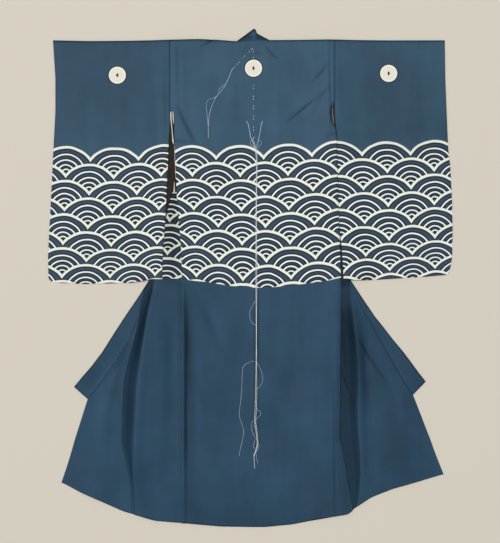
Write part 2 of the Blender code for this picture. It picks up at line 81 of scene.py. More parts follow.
def finish_named(name, numbers):
    """A material with numbers set on its shader's own sockets, then its nodes and the shader."""
    material = bpy.data.materials.new(name)
    material.use_nodes = True
    shader = material.node_tree.nodes["Principled BSDF"]
    for socket, value in numbers.items():
        shader.inputs[socket].default_value = value
    return material, material.node_tree, shader


def link(item):
    """Puts a new object in the scene."""
    bpy.context.scene.collection.objects.link(item)
    return item


camera = link(bpy.data.objects.new("camera", bpy.data.cameras.new("camera")))
camera.data.lens = CAMERA_LENS
camera.data.sensor_width = CAMERA_SENSOR
camera.location = CAMERA_PLACE
bpy.context.scene.camera = camera
# Colours come out as they are on the cloth and the paper, with no film curve over them
bpy.context.scene.view_settings.view_transform = "Standard"

lamp = link(bpy.data.objects.new("lamp", bpy.data.lights.new("lamp", "AREA")))
lamp.data.shape = "DISK"
lamp.data.size = LAMP_SIZE
lamp.data.energy = LAMP_POWER
lamp.location = LAMP_PLACE
lamp.rotation_euler = Vector(LAMP_PLACE).to_track_quat("Z", "Y").to_euler()
lamp.visible_camera = False

world = bpy.data.worlds.new("room")
world.use_nodes = True
background = world.node_tree.nodes["Background"]
background.inputs["Color"].default_value = linear(ROOM_LIGHT)
background.inputs["Strength"].default_value = ROOM_STRENGTH
bpy.context.scene.world = world

# Matt pale paper gives an even, slightly warm ground.
paper, *_ = finish_named(
    "matt_pale_paper", {"Base Color": linear(PAPER), "Roughness": 0.95, "Specular IOR Level": 0.1}
)
half = SURFACE_SIZE / 2
surface_mesh = bpy.data.meshes.new("surface")
surface_mesh.from_pydata(
    [(-half, -half, 0), (half, -half, 0), (half, half, 0), (-half, half, 0)], [], [(0, 1, 2, 3)]
)
surface_mesh.materials.append(paper)
surface = link(bpy.data.objects.new("surface", surface_mesh))

# The back panel: one loom width of plain-woven silk from the shoulder fold to the hem, sewn to the
# sleeves at the shoulders and to the fronts at the sides. A ridge follows its left side seam with a
# trough beside it, its middle lies on the surface, and its right side is rolled up in a long fold.
MM = 0.001
MIDDLE_X = -7.5
MIDDLE_DOWN = 486.7
LEFT_SEAM = -172.5
RIGHT_SEAM = 165.0
BODY_LENGTH = 997.4
LOOM_WIDTH = 337.5
LEVEL_DEPTH = 820.0
SILK = 0.8
GRID_STEP = 3.0
WALL = 1.2
SHOULDER_RADIUS = 1.7
SHOULDER_TURNS = (-60, -30, 0, 30, 60)
EDGE_ROLL = 0.5
EDGE_REACH = 1.6
HEM = (
    (-395.0, 905.5), (-354.0, 927.0), (-310.0, 946.0), (-266.0, 966.0), (-237.0, 974.0),
    (-204.0, 984.0), (-141.5, 989.5), (-65.0, 996.5), (22.5, 997.4), (77.0, 992.0),
    (130.0, 982.0), (167.0, 975.0), (193.0, 970.0), (201.5, 963.0), (213.0, 953.5),
    (240.0, 937.0), (284.0, 919.0), (357.0, 898.0), (389.0, 889.0),
)
BACK_LEFT_EDGE = (  # depth, x
    (0, LEFT_SEAM), (143, LEFT_SEAM), (150, -166), (162, -163.8), (213, -163), (321, -158),
    (386, -152), (440, -148.5), (480, -147.5), (997.4, -147.2),
)
BACK_RIGHT_EDGE = (
    (0, RIGHT_SEAM), (128, RIGHT_SEAM), (136, 160.6), (146, 158.8), (158, 159.8), (170, 162.6),
    (180, 166.6), (204, 170.2), (343, 173), (412, 175.8), (484, 178), (589, 177),
    (666, 176), (815, 174), (838, 180), (884, 187), (930, 192.5), (985, 201), (997.4, 201.5),
)
BACK_COLUMNS = (
    "depth", "edge_left_z", "trough_z", "shelf_left_x", "shelf_left_z", "middle_z",
    "shelf_right_x", "shelf_right_z", "fold_z", "edge_right_z",
)
BACK_SECTIONS = (
    (0, 4.3, 4.3, -80, 4.3, 4.3, 80, 4.3, 4.3, 4.3),
    (60, 4.6, 4.3, -48, 4.3, 3.4, 45, 4.3, 4.5, 4.3),
    (145, 5.8, 5.2, -62, 4.3, 1.6, 58, 4.3, 4.8, 4.3),
    (300, 5.9, 5.3, -97, 4.3, 1.2, 94, 4.3, 5.0, 4.4),
    (400, 5.2, 4.5, -112, 4.3, 0.8, 109, 4.3, 5.2, 4.5),
    (470, 5.2, 4.3, -118, 4.3, 0.5, 120, 4.3, 5.6, 4.7),
    (530, 5.3, 2.2, -112, 1.5, 0.2, 122, 3.5, 8.0, 6.0),
    (600, 5.3, 1.2, -110, 1.0, 0.0, 125, 3.0, 12.0, 8.5),
    (700, 5.3, 1.0, -108, 1.2, 0.0, 125, 3.0, 12.5, 8.5),
    (800, 5.1, 1.0, -108, 1.5, 0.0, 130, 3.0, 10.0, 7.0),
    (900, 4.8, 1.2, -108, 1.5, 0.0, 140, 2.5, 8.0, 5.5),
    (997.4, 4.3, 1.5, -108, 1.2, 0.0, 150, 2.0, 6.0, 4.5),
)
TROUGH_FROM_EDGE = 11.0
SHELF_SLOPE = 40.0
FOLD_FROM_EDGE = 7.0
# Creases are routes of x, down and height (a trough where it is negative), with a width
BACK_CREASES = (
    (((-160, 125, -0.4), (-146, 161, -1.3), (-129, 196, -1.1), (-114, 219, -0.3)), 8),
    (((-86, 2, -0.9), (-98, 9, -0.8), (-114, 19, -0.2)), 4),
    (((22, 12, -0.5), (38, 30, -1.1), (53, 39, -0.3)), 5),
    (((155, 44, -0.3), (137, 67, -1.0), (112, 93, -0.3)), 7),
    (((128, 117, -0.5), (104, 138, -1.6), (66, 170, -0.4)), 7),
    (((-158, 10, -0.7), (-158, 70, -0.9), (-156, 116, -0.2)), 4),
    (((-142, 12, 0.5), (-142.5, 70, 0.8), (-143, 118, 0.2)), 5),
    (((152, 3, 0.3), (153, 90, 0.9), (155, 182, 0.2)), 5),
    (((160, 190, -0.8), (147, 203, -0.6)), 4),
    (((1, 23, -0.3), (13, 29, -0.5)), 3),
    (((-60, 560, 0.2), (-66, 700, 1.0), (-72, 860, 1.2), (-80, 985, 0.7)), 17),
    (((60, 600, 0.2), (66, 720, 0.7), (74, 880, 1.1), (84, 985, 0.8)), 19),
    (((4, 640, 0.1), (2, 760, 0.6), (-4, 900, 0.9), (-8, 992, 0.6)), 22),
)
# Shade painted along the back's folds and creases, and darker towards the hem: routes of x, down and
# strength (a painted highlight where it is negative), with a width
BACK_SHADE_LINES = (
    (((-141, 500, 0.1), (-140.5, 560, 0.9), (-140, 640, 1.2), (-139.8, 830, 1.2),
      (-139.6, 890, 0.6), (-139.4, 990, 0.1)), 4.6),
    (((5.1, 500, 0.5), (5.0, 540, 1.5), (5.0, 640, 1.5), (4.7, 716, 1.3), (3.5, 761, 1.0),
      (3.0, 785, 0.8), (7, 822, 0.5), (3, 843, 0.1)), 4.0),
    (((-136.5, 545, 0.1), (-135.5, 600, 0.6), (-134, 680, 0.4), (-134, 760, 0.15)), 4.0),
    (((-132, 520, 0.1), (-131, 620, 0.55), (-128, 720, 0.45), (-127, 860, 0.35), (-126, 960, 0.15)), 7),
    (((163, 700, 0.1), (163.5, 780, 0.8), (164, 900, 0.8), (165, 975, 0.4)), 1.8),
    (((-158, 132, 0.3), (-146, 161, 0.95), (-129, 196, 0.8), (-117, 214, 0.2)), 4.0),
    (((-168, 205, 0.7), (-150, 207, 0.45), (-128, 209, 0.2)), 4.0),
    (((126, 119, 0.5), (103, 138, 1.6), (84, 154, 1.1), (68, 168, 0.4)), 1.6),
    (((118, 114, 0.0), (96, 131, -0.35), (66, 152, 0.0)), 4.0),
    (((152, 48, 0.3), (137, 67, 1.0), (113, 92, 0.15)), 2.4),
    (((160, 86, 0.1), (146, 104, 0.5), (128, 119, 0.3)), 2.0),
    (((62, 30, 0.1), (72, 46, 0.4), (76, 62, 0.1)), 2.0),
    (((144, 102, 0.15), (132, 122, 0.35), (120, 150, 0.1)), 4.0),
    (((-88, 3, 1.2), (-100, 10, 0.9), (-112, 17, 0.2)), 1.9),
    (((-98, 3, 0.3), (-70, 5, 0.2)), 2.4),
    (((23, 13, 0.5), (38, 30, 1.0), (52, 39, 0.2)), 2.0),
    (((-158, 11, 0.35), (-157, 70, 0.5), (-155, 118, 0.1)), 2.2),
    (((-142.5, 12, 0.1), (-142.5, 60, 0.4), (-142.5, 112, 0.05)), 2.2),
    (((-36.5, 62, 0.05), (-36, 100, 0.3), (-35.5, 145, 0.05)), 2.0),
    (((153.5, 3, 0.35), (154, 90, 0.55), (157, 183, 0.3)), 2.4),
    (((159, 20, -0.1), (160, 90, -0.3), (161, 120, -0.1)), 2.2),
    (((170, 192, 0.4), (161, 190, 0.7), (148, 203, 0.4)), 2.4),
    (((160.5, 126, 0.6), (157, 138, 1.3), (156.6, 150, 1.3), (158.8, 164, 1.1), (163, 176, 0.6)), 1.8),
    (((1, 24, 0.5), (13, 29, 0.5)), 1.8),
    (((-10, 8, 0.25), (-22, 20, 0.3), (-30, 34, 0.1)), 3.0),
    (((-120, 522, 0.1), (-95, 575, 0.4), (-72, 632, 0.1)), 9),
    (((-98, 520, -0.1), (-74, 582, -0.2), (-52, 644, -0.05)), 12),
    (((-128, 690, 0.1), (-100, 740, 0.25), (-60, 770, 0.1)), 14),
    (((60, 690, 0.1), (40, 750, 0.25), (48, 840, 0.1)), 16),
    (((168, 740, 0.15), (170, 840, 0.35), (177, 930, 0.3)), 2.0),
    (((176, 800, 0.1), (180, 880, 0.3), (190, 960, 0.3)), 7),
    (((-110, 990, 0.35), (0, 1000, 0.4), (110, 990, 0.35), (170, 975, 0.3)), 60),
)
# Strengths and widths of the lines of painted shade along the seams, the shoulder fold and the hem
SEAM_LINE = 0.8
SEAM_LINE_WIDTH = 1.5
SHOULDER_LINE = 1.7
SHOULDER_LINE_WIDTH = 3.0
HEM_LINE = 0.8
HEM_LINE_WIDTH = 2.2
SHOULDER_WAVE = (  # x, how far the shoulder fold strays down from a straight line
    (-412, -0.6), (-336, 1.0), (-250, 0.2), (-172, -1.4), (-115, -2.9), (-75, -1.2), (-37, 1.9),
    (0, 0.0), (40, -0.6), (90, -1.0), (152, -2.0), (210, -1.2), (273, -0.4), (391, -0.6),
)
WAVE_DEPTH = 30.0
NAPE_REACH = 30.0
# A painted highlight a little inside the back's side edges: its strength down the back, how far in it
# lies and how wide it is
PAINTED_EDGE_GLEAM = ((0, 0.0), (500, 0.0), (560, 0.4), (900, 0.4), (985, 0.25))  # down, strength
GLEAM_FROM_EDGE = 1.4
GLEAM_WIDTH = 1.3


def place(x, down, z):
    """Places in the model's frame, in metres."""
    x, down, z = np.broadcast_arrays(x, down, z)
    return np.stack([(x - MIDDLE_X) * MM, (MIDDLE_DOWN - down) * MM, z * MM], axis=-1)


def between(table, key, column=1):
    """A column of a table at keys of its first column, which rises down the table."""
    return np.interp(key, [row[0] for row in table], [row[column] for row in table])


def softened(table, key, column=1, reach=14.0):
    """The same with the table's corners rounded over a reach."""
    key = np.asarray(key, float)
    total = 0.0
    for offset, weight in ((-1, 0.08), (-0.6, 0.18), (-0.2, 0.24), (0.2, 0.24), (0.6, 0.18), (1, 0.08)):
        total = total + weight * between(table, key + offset * reach, column)
    return total


def ease(share):
    """0 to 1 with a level start and end."""
    return 0.5 - 0.5 * np.cos(np.pi * np.clip(share, 0, 1))


def profile(stations, x):
    """Heights at x along soft steps from station to station, each an x and a z."""
    z = stations[0][1]
    for (low_x, low_z), (high_x, high_z) in zip(stations, stations[1:]):
        z = np.where(x > low_x, low_z + (high_z - low_z) * ease((x - low_x) / (high_x - low_x)), z)
    return z


def creased(creases, x, down):
    """The height that a panel's creases add, or the painted shade that its shade lines add."""
    total = np.zeros(np.broadcast(x, down).shape)
    for route, width in creases:
        best = np.full(total.shape, np.inf)
        height = np.zeros(total.shape)
        for (x0, down0, h0), (x1, down1, h1) in zip(route, route[1:]):
            length = math.hypot(x1 - x0, down1 - down0)
            share = ((x - x0) * (x1 - x0) + (down - down0) * (down1 - down0)) / length**2
            inside = np.clip(share, 0, 1)
            away = np.hypot(x - x0 - inside * (x1 - x0), down - down0 - inside * (down1 - down0))
            height = np.where(away < best, h0 + (h1 - h0) * inside, height)
            best = np.minimum(best, away)
        total += height * np.exp(-((best / width) ** 2))
    return total


def beside(distance, strength=SEAM_LINE, width=SEAM_LINE_WIDTH):
    """A line of painted shade beside an edge, at distances from it."""
    return strength * np.exp(-((distance / width) ** 2))


def drop(x, depth):
    """How far down a row's point lies: level rows at first, then rows bent to the hem."""
    share = np.clip((depth - LEVEL_DEPTH) / (BODY_LENGTH - LEVEL_DEPTH), 0, 1)
    hem = softened(HEM, x, reach=8.0)
    return np.minimum(depth, LEVEL_DEPTH) + share * (hem - LEVEL_DEPTH)


def shoulder_shift(x, down):
    """How far the cloth near the shoulder fold strays from where it would lie if it were straight."""
    return softened(SHOULDER_WAVE, x, reach=12.0) * np.exp(-down / WAVE_DEPTH)


def stops(length, step=GRID_STEP, fine=(0.6, 1.3, 2.2)):
    """Shares from 0 to 1 along a length, a step apart and closer together near both ends."""
    near = np.array([0.0, *fine]) / length
    middle = np.linspace(near[-1], 1 - near[-1], max(3, round(length / step)))[1:-1]
    return np.concatenate([near, middle, 1 - near[::-1]])


def rows_between(start, end=BODY_LENGTH):
    """Depths a step apart from start to end, one for each row of a grid."""
    return np.append(np.arange(start, end - 1.0, GRID_STEP), end)[:, None]


def edge_roll(*distances):
    """How far the cloth turns down beside its edges, at distances from them."""
    return sum(-EDGE_ROLL * np.exp(-((d / EDGE_REACH) ** 2)) for d in distances)


def shell(name, points, finishes, fields=None, thickness=SILK, closed=False, inside_out=None):
    """A thin cloth shell on a grid of places, with its lining on the face below.

    Rows of the grid run down and columns to the right. A closed shell joins its last column to its
    first. The faces in inside_out show the lining above and the outer silk below.
    """
    rows, columns = points.shape[:2]
    index = np.arange(rows * columns).reshape(rows, columns)
    if closed:
        index = np.concatenate([index, index[:, :1]], axis=1)
    quads = np.stack([index[:-1, :-1], index[1:, :-1], index[1:, 1:], index[:-1, 1:]], axis=-1)
    mesh = bpy.data.meshes.new(name)
    mesh.from_pydata(points.reshape(-1, 3).tolist(), [], quads.reshape(-1, 4).tolist())
    for field, values in (fields or {}).items():
        attribute = mesh.attributes.new(field, "FLOAT_VECTOR", "POINT")
        flat = np.stack([np.broadcast_to(value, (rows, columns)) for value in values], axis=-1)
        attribute.data.foreach_set("vector", flat.reshape(-1).astype(np.float32))
    for finish in finishes:
        mesh.materials.append(finish)
    if inside_out is not None:
        mesh.polygons.foreach_set("material_index", inside_out.astype(np.int32).reshape(-1))
    mesh.shade_smooth()
    item = link(bpy.data.objects.new(name, mesh))
    wall = item.modifiers.new("wall", "SOLIDIFY")
    wall.thickness = thickness * MM
    wall.offset = -1.0
    wall.use_even_offset = True
    wall.material_offset = 1
    return item


def back_stations(depth):
    """The x and z of the back's edges, trough, shelves and fold, at depths down it."""
    row = {name: softened(BACK_SECTIONS, depth, index) for index, name in enumerate(BACK_COLUMNS)}
    left = softened(BACK_LEFT_EDGE, depth, reach=4.0)
    right = softened(BACK_RIGHT_EDGE, depth, reach=4.0)
    return [
        (left, row["edge_left_z"]),
        (left + TROUGH_FROM_EDGE, row["trough_z"]),
        (row["shelf_left_x"], row["shelf_left_z"]),
        (row["shelf_left_x"] + SHELF_SLOPE, row["middle_z"]),
        (row["shelf_right_x"] - SHELF_SLOPE, row["middle_z"]),
        (row["shelf_right_x"], row["shelf_right_z"]),
        (right - FOLD_FROM_EDGE, row["fold_z"]),
        (right, row["edge_right_z"]),
    ]


def back_top(x, depth):
    """The height of the back's upper face."""
    stations = back_stations(depth)
    z = profile(stations, x) + WALL + creased(BACK_CREASES, x, depth)
    return z + edge_roll(x - stations[0][0], stations[-1][0] - x)


# Plain-woven silk dyed dark indigo: a smooth, close cloth with a low soft gleam, a faintly uneven
# tone and thin slubs along the weft. A paste kept the waves and the round marks white in the dye,
# which leaves soft-edged ivory lines of uneven width.
UPPER_BLUE = "39576e"
BAND_BLUE = "364b5e"
RIM_BLUE = "141d26"  # the dye gathers beside the resist, which leaves a dark rim along each line
SKIRT_BLUE = "2c4a62"
RING_IVORY = "f4fafa"
OUTLINE_IVORY = "eff3e9"
DISC_IVORY = "ebe6d8"
DISC_RIM_IVORY = "f7f5ee"
MARK_INK = "27303c"
COOL_TINT = (0.95, 1.012, 0.99)
WARM_TINT = (1.06, 0.99, 1.012)
TONE_SPREAD = 0.12
STREAK_SPREAD = 0.05
# How many patches of tone, streaks, warmer patches and slubs lie in a metre. A slub is drawn
# 0.6 mm thick and 11 mm long, which is coarser than a real one, so that it shows.
TONES = 9.0
STREAKS = (45.0, 5.0, 1.0)
WARM_PATCHES = 11.0
SLUBS = (90.0, 1700.0, 90.0)
NOISE_SPAN = (0.3, 0.7)  # nearly all of a noise's values lie between these
PATCH_SPAN = (0.35, 0.65)  # narrower, so that the patches show more
# Painted shade darkens the blue by these shares where it is 1, up to a limit, and dims the ivory lines,
# almost to nothing where it is deepest
FOLD_SHADE = (0.56, 0.5, 0.48)  # red, green and blue lost where a fold's darkness is 1
FOLD_LIMIT = 1.5
DEEP_FOLD = (1.6, 2.4)  # darkness from and to which a fold swallows the ivory lines too
DEEP_LEFT = 0.06
LINE_SHADE = 0.22
ROW_STEP = 34.4
WAVE_WIDTH = 98.4
DISC_OUTSIDE = 64.6
OUTLINE = 5.1
RING_CENTRE = 56.4  # below the disc's top
RINGS = ((39.5, 3.0), (28.0, 2.9), (18.0, 2.8), (9.0, 2.6))  # radius, line width
RAMP_REACH = 64.0  # the distance from the rings' centre that their colour ramps cover
CENTRE_MARGIN = 4.5
WANDER = (3.0, 2.4, 2.0)  # the width in which hand-drawn lines stray across, down and at the end
WANDER_SCALE = 0.035  # for each mm, so a line strays over about 30 mm
DYE_EDGE = 0.4
RIM_WIDTH = 1.9
RIM_FADE = 1.4
DISC_RADIUS = 17.4
DISC_RIM = 2.6
DISC_BORDER = 2.6
BORDER_LEVEL = 0.25
LOZENGE = (2.8, 4.8)  # half width, half height
LOZENGE_EDGE = (1.15, 0.9)  # outside and inside of its soft edge, as shares of its size

indigo, tree, shader = finish_named(
    "indigo_silk_with_resist_dyed_waves",
    {"Roughness": 0.6, "Specular IOR Level": 0.12, "Sheen Weight": 0.02, "Sheen Roughness": 0.35},
)
wave = add(tree, "Attribute", attribute_name="wave").node.outputs["Vector"]
noise = add(tree, "TexNoise", {"Vector": wave, "Scale": WANDER_SCALE, "Detail": 1.0})
stray = noise.node.outputs["Color"]
shifted = add(tree, "VectorMath", {0: stray, 1: WANDER, 2: wave}, operation="MULTIPLY_ADD")
half_wander = tuple(amount / 2 for amount in WANDER)
centred = add(tree, "VectorMath", {0: shifted, 1: half_wander}, operation="SUBTRACT")
across_wave, below_peak, above_end = add(tree, "SeparateXYZ", {0: centred}).node.outputs
rows_below = add(tree, "Math", {0: below_peak, 1: ROW_STEP}, operation="DIVIDE")
row = add(tree, "Math", {0: rows_below}, operation="FLOOR")
in_row = add(tree, "Math", {0: below_peak, 1: ROW_STEP}, operation="FLOORED_MODULO")
odd = add(tree, "Math", {0: row, 1: 2.0}, operation="FLOORED_MODULO")


def from_top(shift, extra):
    """Where a point lies from the top of the nearest disc of a row that starts extra above."""
    moved = add(tree, "Math", {0: odd, 1: WAVE_WIDTH / 2, 2: shift}, operation="MULTIPLY_ADD")
    across = add(tree, "Math", {0: across_wave, 1: moved}, operation="SUBTRACT")
    across = add(tree, "Math", {0: across, 1: WAVE_WIDTH / 2, 2: -WAVE_WIDTH / 2}, operation="WRAP")
    below = add(tree, "Math", {0: in_row, 1: extra}, operation="ADD")
    return add(tree, "CombineXYZ", {0: across, 1: below})


def away_from(spot, centre_below):
    """A point's distance from a centre below the disc's top."""
    offset = add(tree, "VectorMath", {0: spot, 1: (0, centre_below, 0)}, operation="SUBTRACT")
    return add(tree, "VectorMath", {0: offset}, operation="LENGTH").node.outputs["Value"]


# A disc covers the row above it, so a point belongs to its own row's disc or to the one above
own = from_top(0.0, 0.0)
above = from_top(WAVE_WIDTH / 2, ROW_STEP)
own_radius = away_from(own, DISC_OUTSIDE)
inside = add(tree, "Math", {0: own_radius, 1: DISC_OUTSIDE}, operation="LESS_THAN")
spot = add(tree, "Mix", {0: inside, 4: above, 5: own}, data_type="VECTOR").node.outputs[1]
disc_radius = away_from(spot, DISC_OUTSIDE)
ring_radius = away_from(spot, RING_CENTRE)
line_inside = DISC_OUTSIDE - OUTLINE
rim_inside = line_inside - RIM_WIDTH
rim_outside = DISC_OUTSIDE + RIM_WIDTH
outline = add(
    tree, "MapRange", {0: disc_radius, 1: line_inside - DYE_EDGE, 2: line_inside + DYE_EDGE}
)
inner_rim = add(tree, "MapRange", {0: disc_radius, 1: rim_inside - RIM_FADE, 2: rim_inside})
outer_rim = add(tree, "MapRange", {0: own_radius, 1: rim_outside + RIM_FADE, 2: rim_outside})


def ring_bands(half_extra, edge):
    """1 on the rings and 0 between them, for rings widened on each side and with soft edges."""
    reach_share = add(tree, "Math", {0: ring_radius, 1: RAMP_REACH}, operation="DIVIDE")
    bands = add(tree, "ValToRGB", {0: reach_share})
    ramp = bands.node.color_ramp
    while len(ramp.elements) > 1:
        ramp.elements.remove(ramp.elements[-1])
    ramp.elements[0].position = 0.0
    ramp.elements[0].color = (0, 0, 0, 1)
    for ring, width in sorted(RINGS):
        near, far = ring - width / 2 - half_extra, ring + width / 2 + half_extra
        for at, value in ((near - edge, 0), (near + edge, 1), (far - edge, 1), (far + edge, 0)):
            ramp.elements.new(at / RAMP_REACH).color = (value, value, value, 1)
    return bands


# This field holds the shade painted along folds, seams and edges, a painted highlight where it is
# negative, and 1 where the discs have no innermost ring
fold_field = add(tree, "Attribute", attribute_name="fold").node.outputs["Vector"]
fold, ring_less, _ = add(tree, "SeparateXYZ", {0: fold_field}).node.outputs
centre_reach = RINGS[-1][0] + CENTRE_MARGIN
in_centre = add(tree, "Math", {0: ring_radius, 1: centre_reach}, operation="LESS_THAN")
cut_off = add(tree, "Math", {0: in_centre, 1: ring_less}, operation="MULTIPLY")
kept = add(tree, "Math", {0: 1.0, 1: cut_off}, operation="SUBTRACT")
below_first = add(tree, "Math", {0: row, 1: 0.5}, operation="GREATER_THAN")
started = add(tree, "Math", {0: row, 1: -0.5}, operation="GREATER_THAN")
not_ended = add(tree, "MapRange", {0: above_end, 1: -DYE_EDGE, 2: DYE_EDGE})
covered = inside
for other, operation in ((below_first, "MAXIMUM"), (started, "MULTIPLY"), (not_ended, "MULTIPLY")):
    covered = add(tree, "Math", {0: covered, 1: other}, operation=operation)
line = ring_bands(0.0, DYE_EDGE)
for other, operation in ((kept, "MULTIPLY"), (outline, "MAXIMUM"), (covered, "MULTIPLY")):
    line = add(tree, "Math", {0: line, 1: other}, operation=operation)
ring_rims = ring_bands(RIM_WIDTH + RIM_FADE / 2, RIM_FADE / 2)
outside = add(tree, "Math", {0: 1.0, 1: inside}, operation="SUBTRACT")
rims = outer_rim
for other, operation in (
    (outside, "MULTIPLY"), (inner_rim, "MAXIMUM"), (ring_rims, "MAXIMUM"), (kept, "MULTIPLY"),
    (covered, "MULTIPLY"),
):
    rims = add(tree, "Math", {0: rims, 1: other}, operation=operation)

below_band = add(tree, "MapRange", {0: above_end, 1: 1.0, 2: -1.0})
blue = linear(UPPER_BLUE)
for where, tint in ((covered, BAND_BLUE), (below_band, SKIRT_BLUE), (rims, RIM_BLUE)):
    blue = add(tree, "Mix", {0: where, 6: blue, 7: linear(tint)}, data_type="RGBA").node.outputs[2]
place_here = add(tree, "TexCoord").node.outputs["Object"]
along = add(tree, "Mapping", {0: place_here, 3: STREAKS})
tones = add(
    tree, "TexNoise", {"Vector": place_here, "Scale": TONES, "Detail": 3.0, "Roughness": 0.6}
)
streaks = add(tree, "TexNoise", {"Vector": along, "Scale": 1.0, "Detail": 2.0})
level = 1.0
for pattern, spread in ((tones, TONE_SPREAD), (streaks, STREAK_SPREAD)):
    here = add(
        tree, "MapRange",
        {0: pattern, 1: NOISE_SPAN[0], 2: NOISE_SPAN[1], 3: 1 - spread, 4: 1 + spread},
    )
    level = add(tree, "Math", {0: level, 1: here}, operation="MULTIPLY")
blue = add(tree, "VectorMath", {0: blue, 3: level}, operation="SCALE")
patches = add(tree, "TexNoise", {"Vector": place_here, "Scale": WARM_PATCHES, "Detail": 2.0})
warmth = add(tree, "MapRange", {0: patches, 1: PATCH_SPAN[0], 2: PATCH_SPAN[1]})
hues = add(tree, "Mix", {0: warmth, 4: COOL_TINT, 5: WARM_TINT}, data_type="VECTOR")
hue = hues.node.outputs[1]
# Painted shade darkens the blue, and where it is deep the ivory lines too
deep = add(tree, "MapRange", {0: fold, 1: DEEP_FOLD[0], 2: DEEP_FOLD[1], 3: 1.0, 4: DEEP_LEFT})
fold = add(tree, "Math", {0: fold, 1: FOLD_LIMIT}, operation="MINIMUM")
fold_loss = add(tree, "VectorMath", {0: FOLD_SHADE, 3: fold}, operation="SCALE")
fold_level = add(tree, "VectorMath", {0: (1, 1, 1), 1: fold_loss}, operation="SUBTRACT")
for tint in (hue, fold_level):
    blue = add(tree, "VectorMath", {0: blue, 1: tint}, operation="MULTIPLY")

mark = add(tree, "Attribute", attribute_name="mark").node.outputs["Vector"]
mark_x, mark_down, on_top = add(tree, "SeparateXYZ", {0: mark}).node.outputs
flat_mark = add(tree, "CombineXYZ", {0: mark_x, 1: mark_down})
away = add(tree, "VectorMath", {0: flat_mark}, operation="LENGTH").node.outputs["Value"]
border = add(
    tree, "MapRange",
    {0: away, 1: DISC_RADIUS + DISC_BORDER, 2: DISC_RADIUS + DISC_BORDER / 2, 3: 1.0,
     4: BORDER_LEVEL},
)
blue = add(tree, "VectorMath", {0: blue, 3: border}, operation="SCALE")
disc = add(tree, "MapRange", {0: away, 1: DISC_RADIUS + DYE_EDGE, 2: DISC_RADIUS - DYE_EDGE})
disc = add(tree, "Math", {0: disc, 1: on_top}, operation="MULTIPLY")
rim_at = DISC_RADIUS - DISC_RIM
rim = add(tree, "MapRange", {0: away, 1: rim_at - 1, 2: rim_at + 1})
across_lozenge = (1 / LOZENGE[0], 1 / LOZENGE[1], 0)
sides = add(tree, "VectorMath", {0: flat_mark, 1: across_lozenge}, operation="MULTIPLY")
sides = add(tree, "VectorMath", {0: sides}, operation="ABSOLUTE")
sides = add(tree, "VectorMath", {0: sides, 1: (1, 1, 0)}, operation="DOT_PRODUCT")
lozenge = add(
    tree, "MapRange", {0: sides.node.outputs["Value"], 1: LOZENGE_EDGE[0], 2: LOZENGE_EDGE[1]}
)
disc_colour = linear(DISC_IVORY)
for where, tint in ((rim, DISC_RIM_IVORY), (lozenge, MARK_INK)):
    mixed = add(tree, "Mix", {0: where, 6: disc_colour, 7: linear(tint)}, data_type="RGBA")
    disc_colour = mixed.node.outputs[2]
line_level = add(tree, "Math", {0: fold, 1: -LINE_SHADE, 2: 1.0}, operation="MULTIPLY_ADD")
for other, operation in ((1.0, "MINIMUM"), (deep, "MULTIPLY")):
    line_level = add(tree, "Math", {0: line_level, 1: other}, operation=operation)
ivories = {0: outline, 6: linear(RING_IVORY), 7: linear(OUTLINE_IVORY)}
ivory = add(tree, "Mix", ivories, data_type="RGBA").node.outputs[2]
ivory = add(tree, "VectorMath", {0: ivory, 3: line_level}, operation="SCALE")
colour = blue
for where, tint in ((line, ivory), (disc, disc_colour)):
    colour = add(tree, "Mix", {0: where, 6: colour, 7: tint}, data_type="RGBA").node.outputs[2]
tree.links.new(colour, shader.inputs["Base Color"])

slub_place = add(tree, "Mapping", {0: place_here, 3: SLUBS})
slub = add(tree, "TexNoise", {"Vector": slub_place, "Scale": 1.0, "Detail": 2.0})
bump = add(tree, "Bump", {"Strength": 0.25, "Distance": 0.1 * MM, "Height": slub})
tree.links.new(bump, shader.inputs["Normal"])

# Thin brown silk lines the garment. It is dull, unevenly dyed and almost black in places, with a fine rib
# across it, which is drawn at 1 mm because a real one is too fine to show. Its brown is as dark as it
# looks in the shade of the slits, so the colour holds painted shade as well as the silk's own.
LINING_BROWN = "241b10"
LINING_RIB = 1.0
RIB_LENGTH = 25.0  # how far a rib runs before it varies


def uneven_silk(name, hex_colour, patch, spread, roughness=0.65, sheen=0.0):
    """A plain silk whose tone is spread unevenly over patches of a size in mm.

    It gives the material, its nodes and shader, the place of a point and the colour there.
    """
    material, tree, shader = finish_named(
        name, {"Roughness": roughness, "Specular IOR Level": 0.2, "Sheen Weight": sheen}
    )
    here = add(tree, "TexCoord").node.outputs["Object"]
    patches = add(tree, "TexNoise", {"Vector": here, "Scale": 1000 / patch, "Detail": 2.0})
    level = add(
        tree, "MapRange",
        {0: patches, 1: PATCH_SPAN[0], 2: PATCH_SPAN[1], 3: 1 - spread, 4: 1 + spread},
    )
    colour = add(tree, "VectorMath", {0: linear(hex_colour)[:3], 3: level}, operation="SCALE")
    tree.links.new(colour, shader.inputs["Base Color"])
    return material, tree, shader, here, colour


lining_silk, tree, shader, here, _ = uneven_silk(
    "dull_brown_lining_silk", LINING_BROWN, patch=14.0, spread=0.4
)
ribs = (1000 / RIB_LENGTH, 1000 / LINING_RIB, 1000 / RIB_LENGTH)
rib_place = add(tree, "Mapping", {0: here, 3: ribs})
rib = add(tree, "TexNoise", {"Vector": rib_place, "Scale": 1.0, "Detail": 1.0})
bump = add(tree, "Bump", {"Strength": 0.3, "Distance": 0.1 * MM, "Height": rib})
tree.links.new(bump, shader.inputs["Normal"])

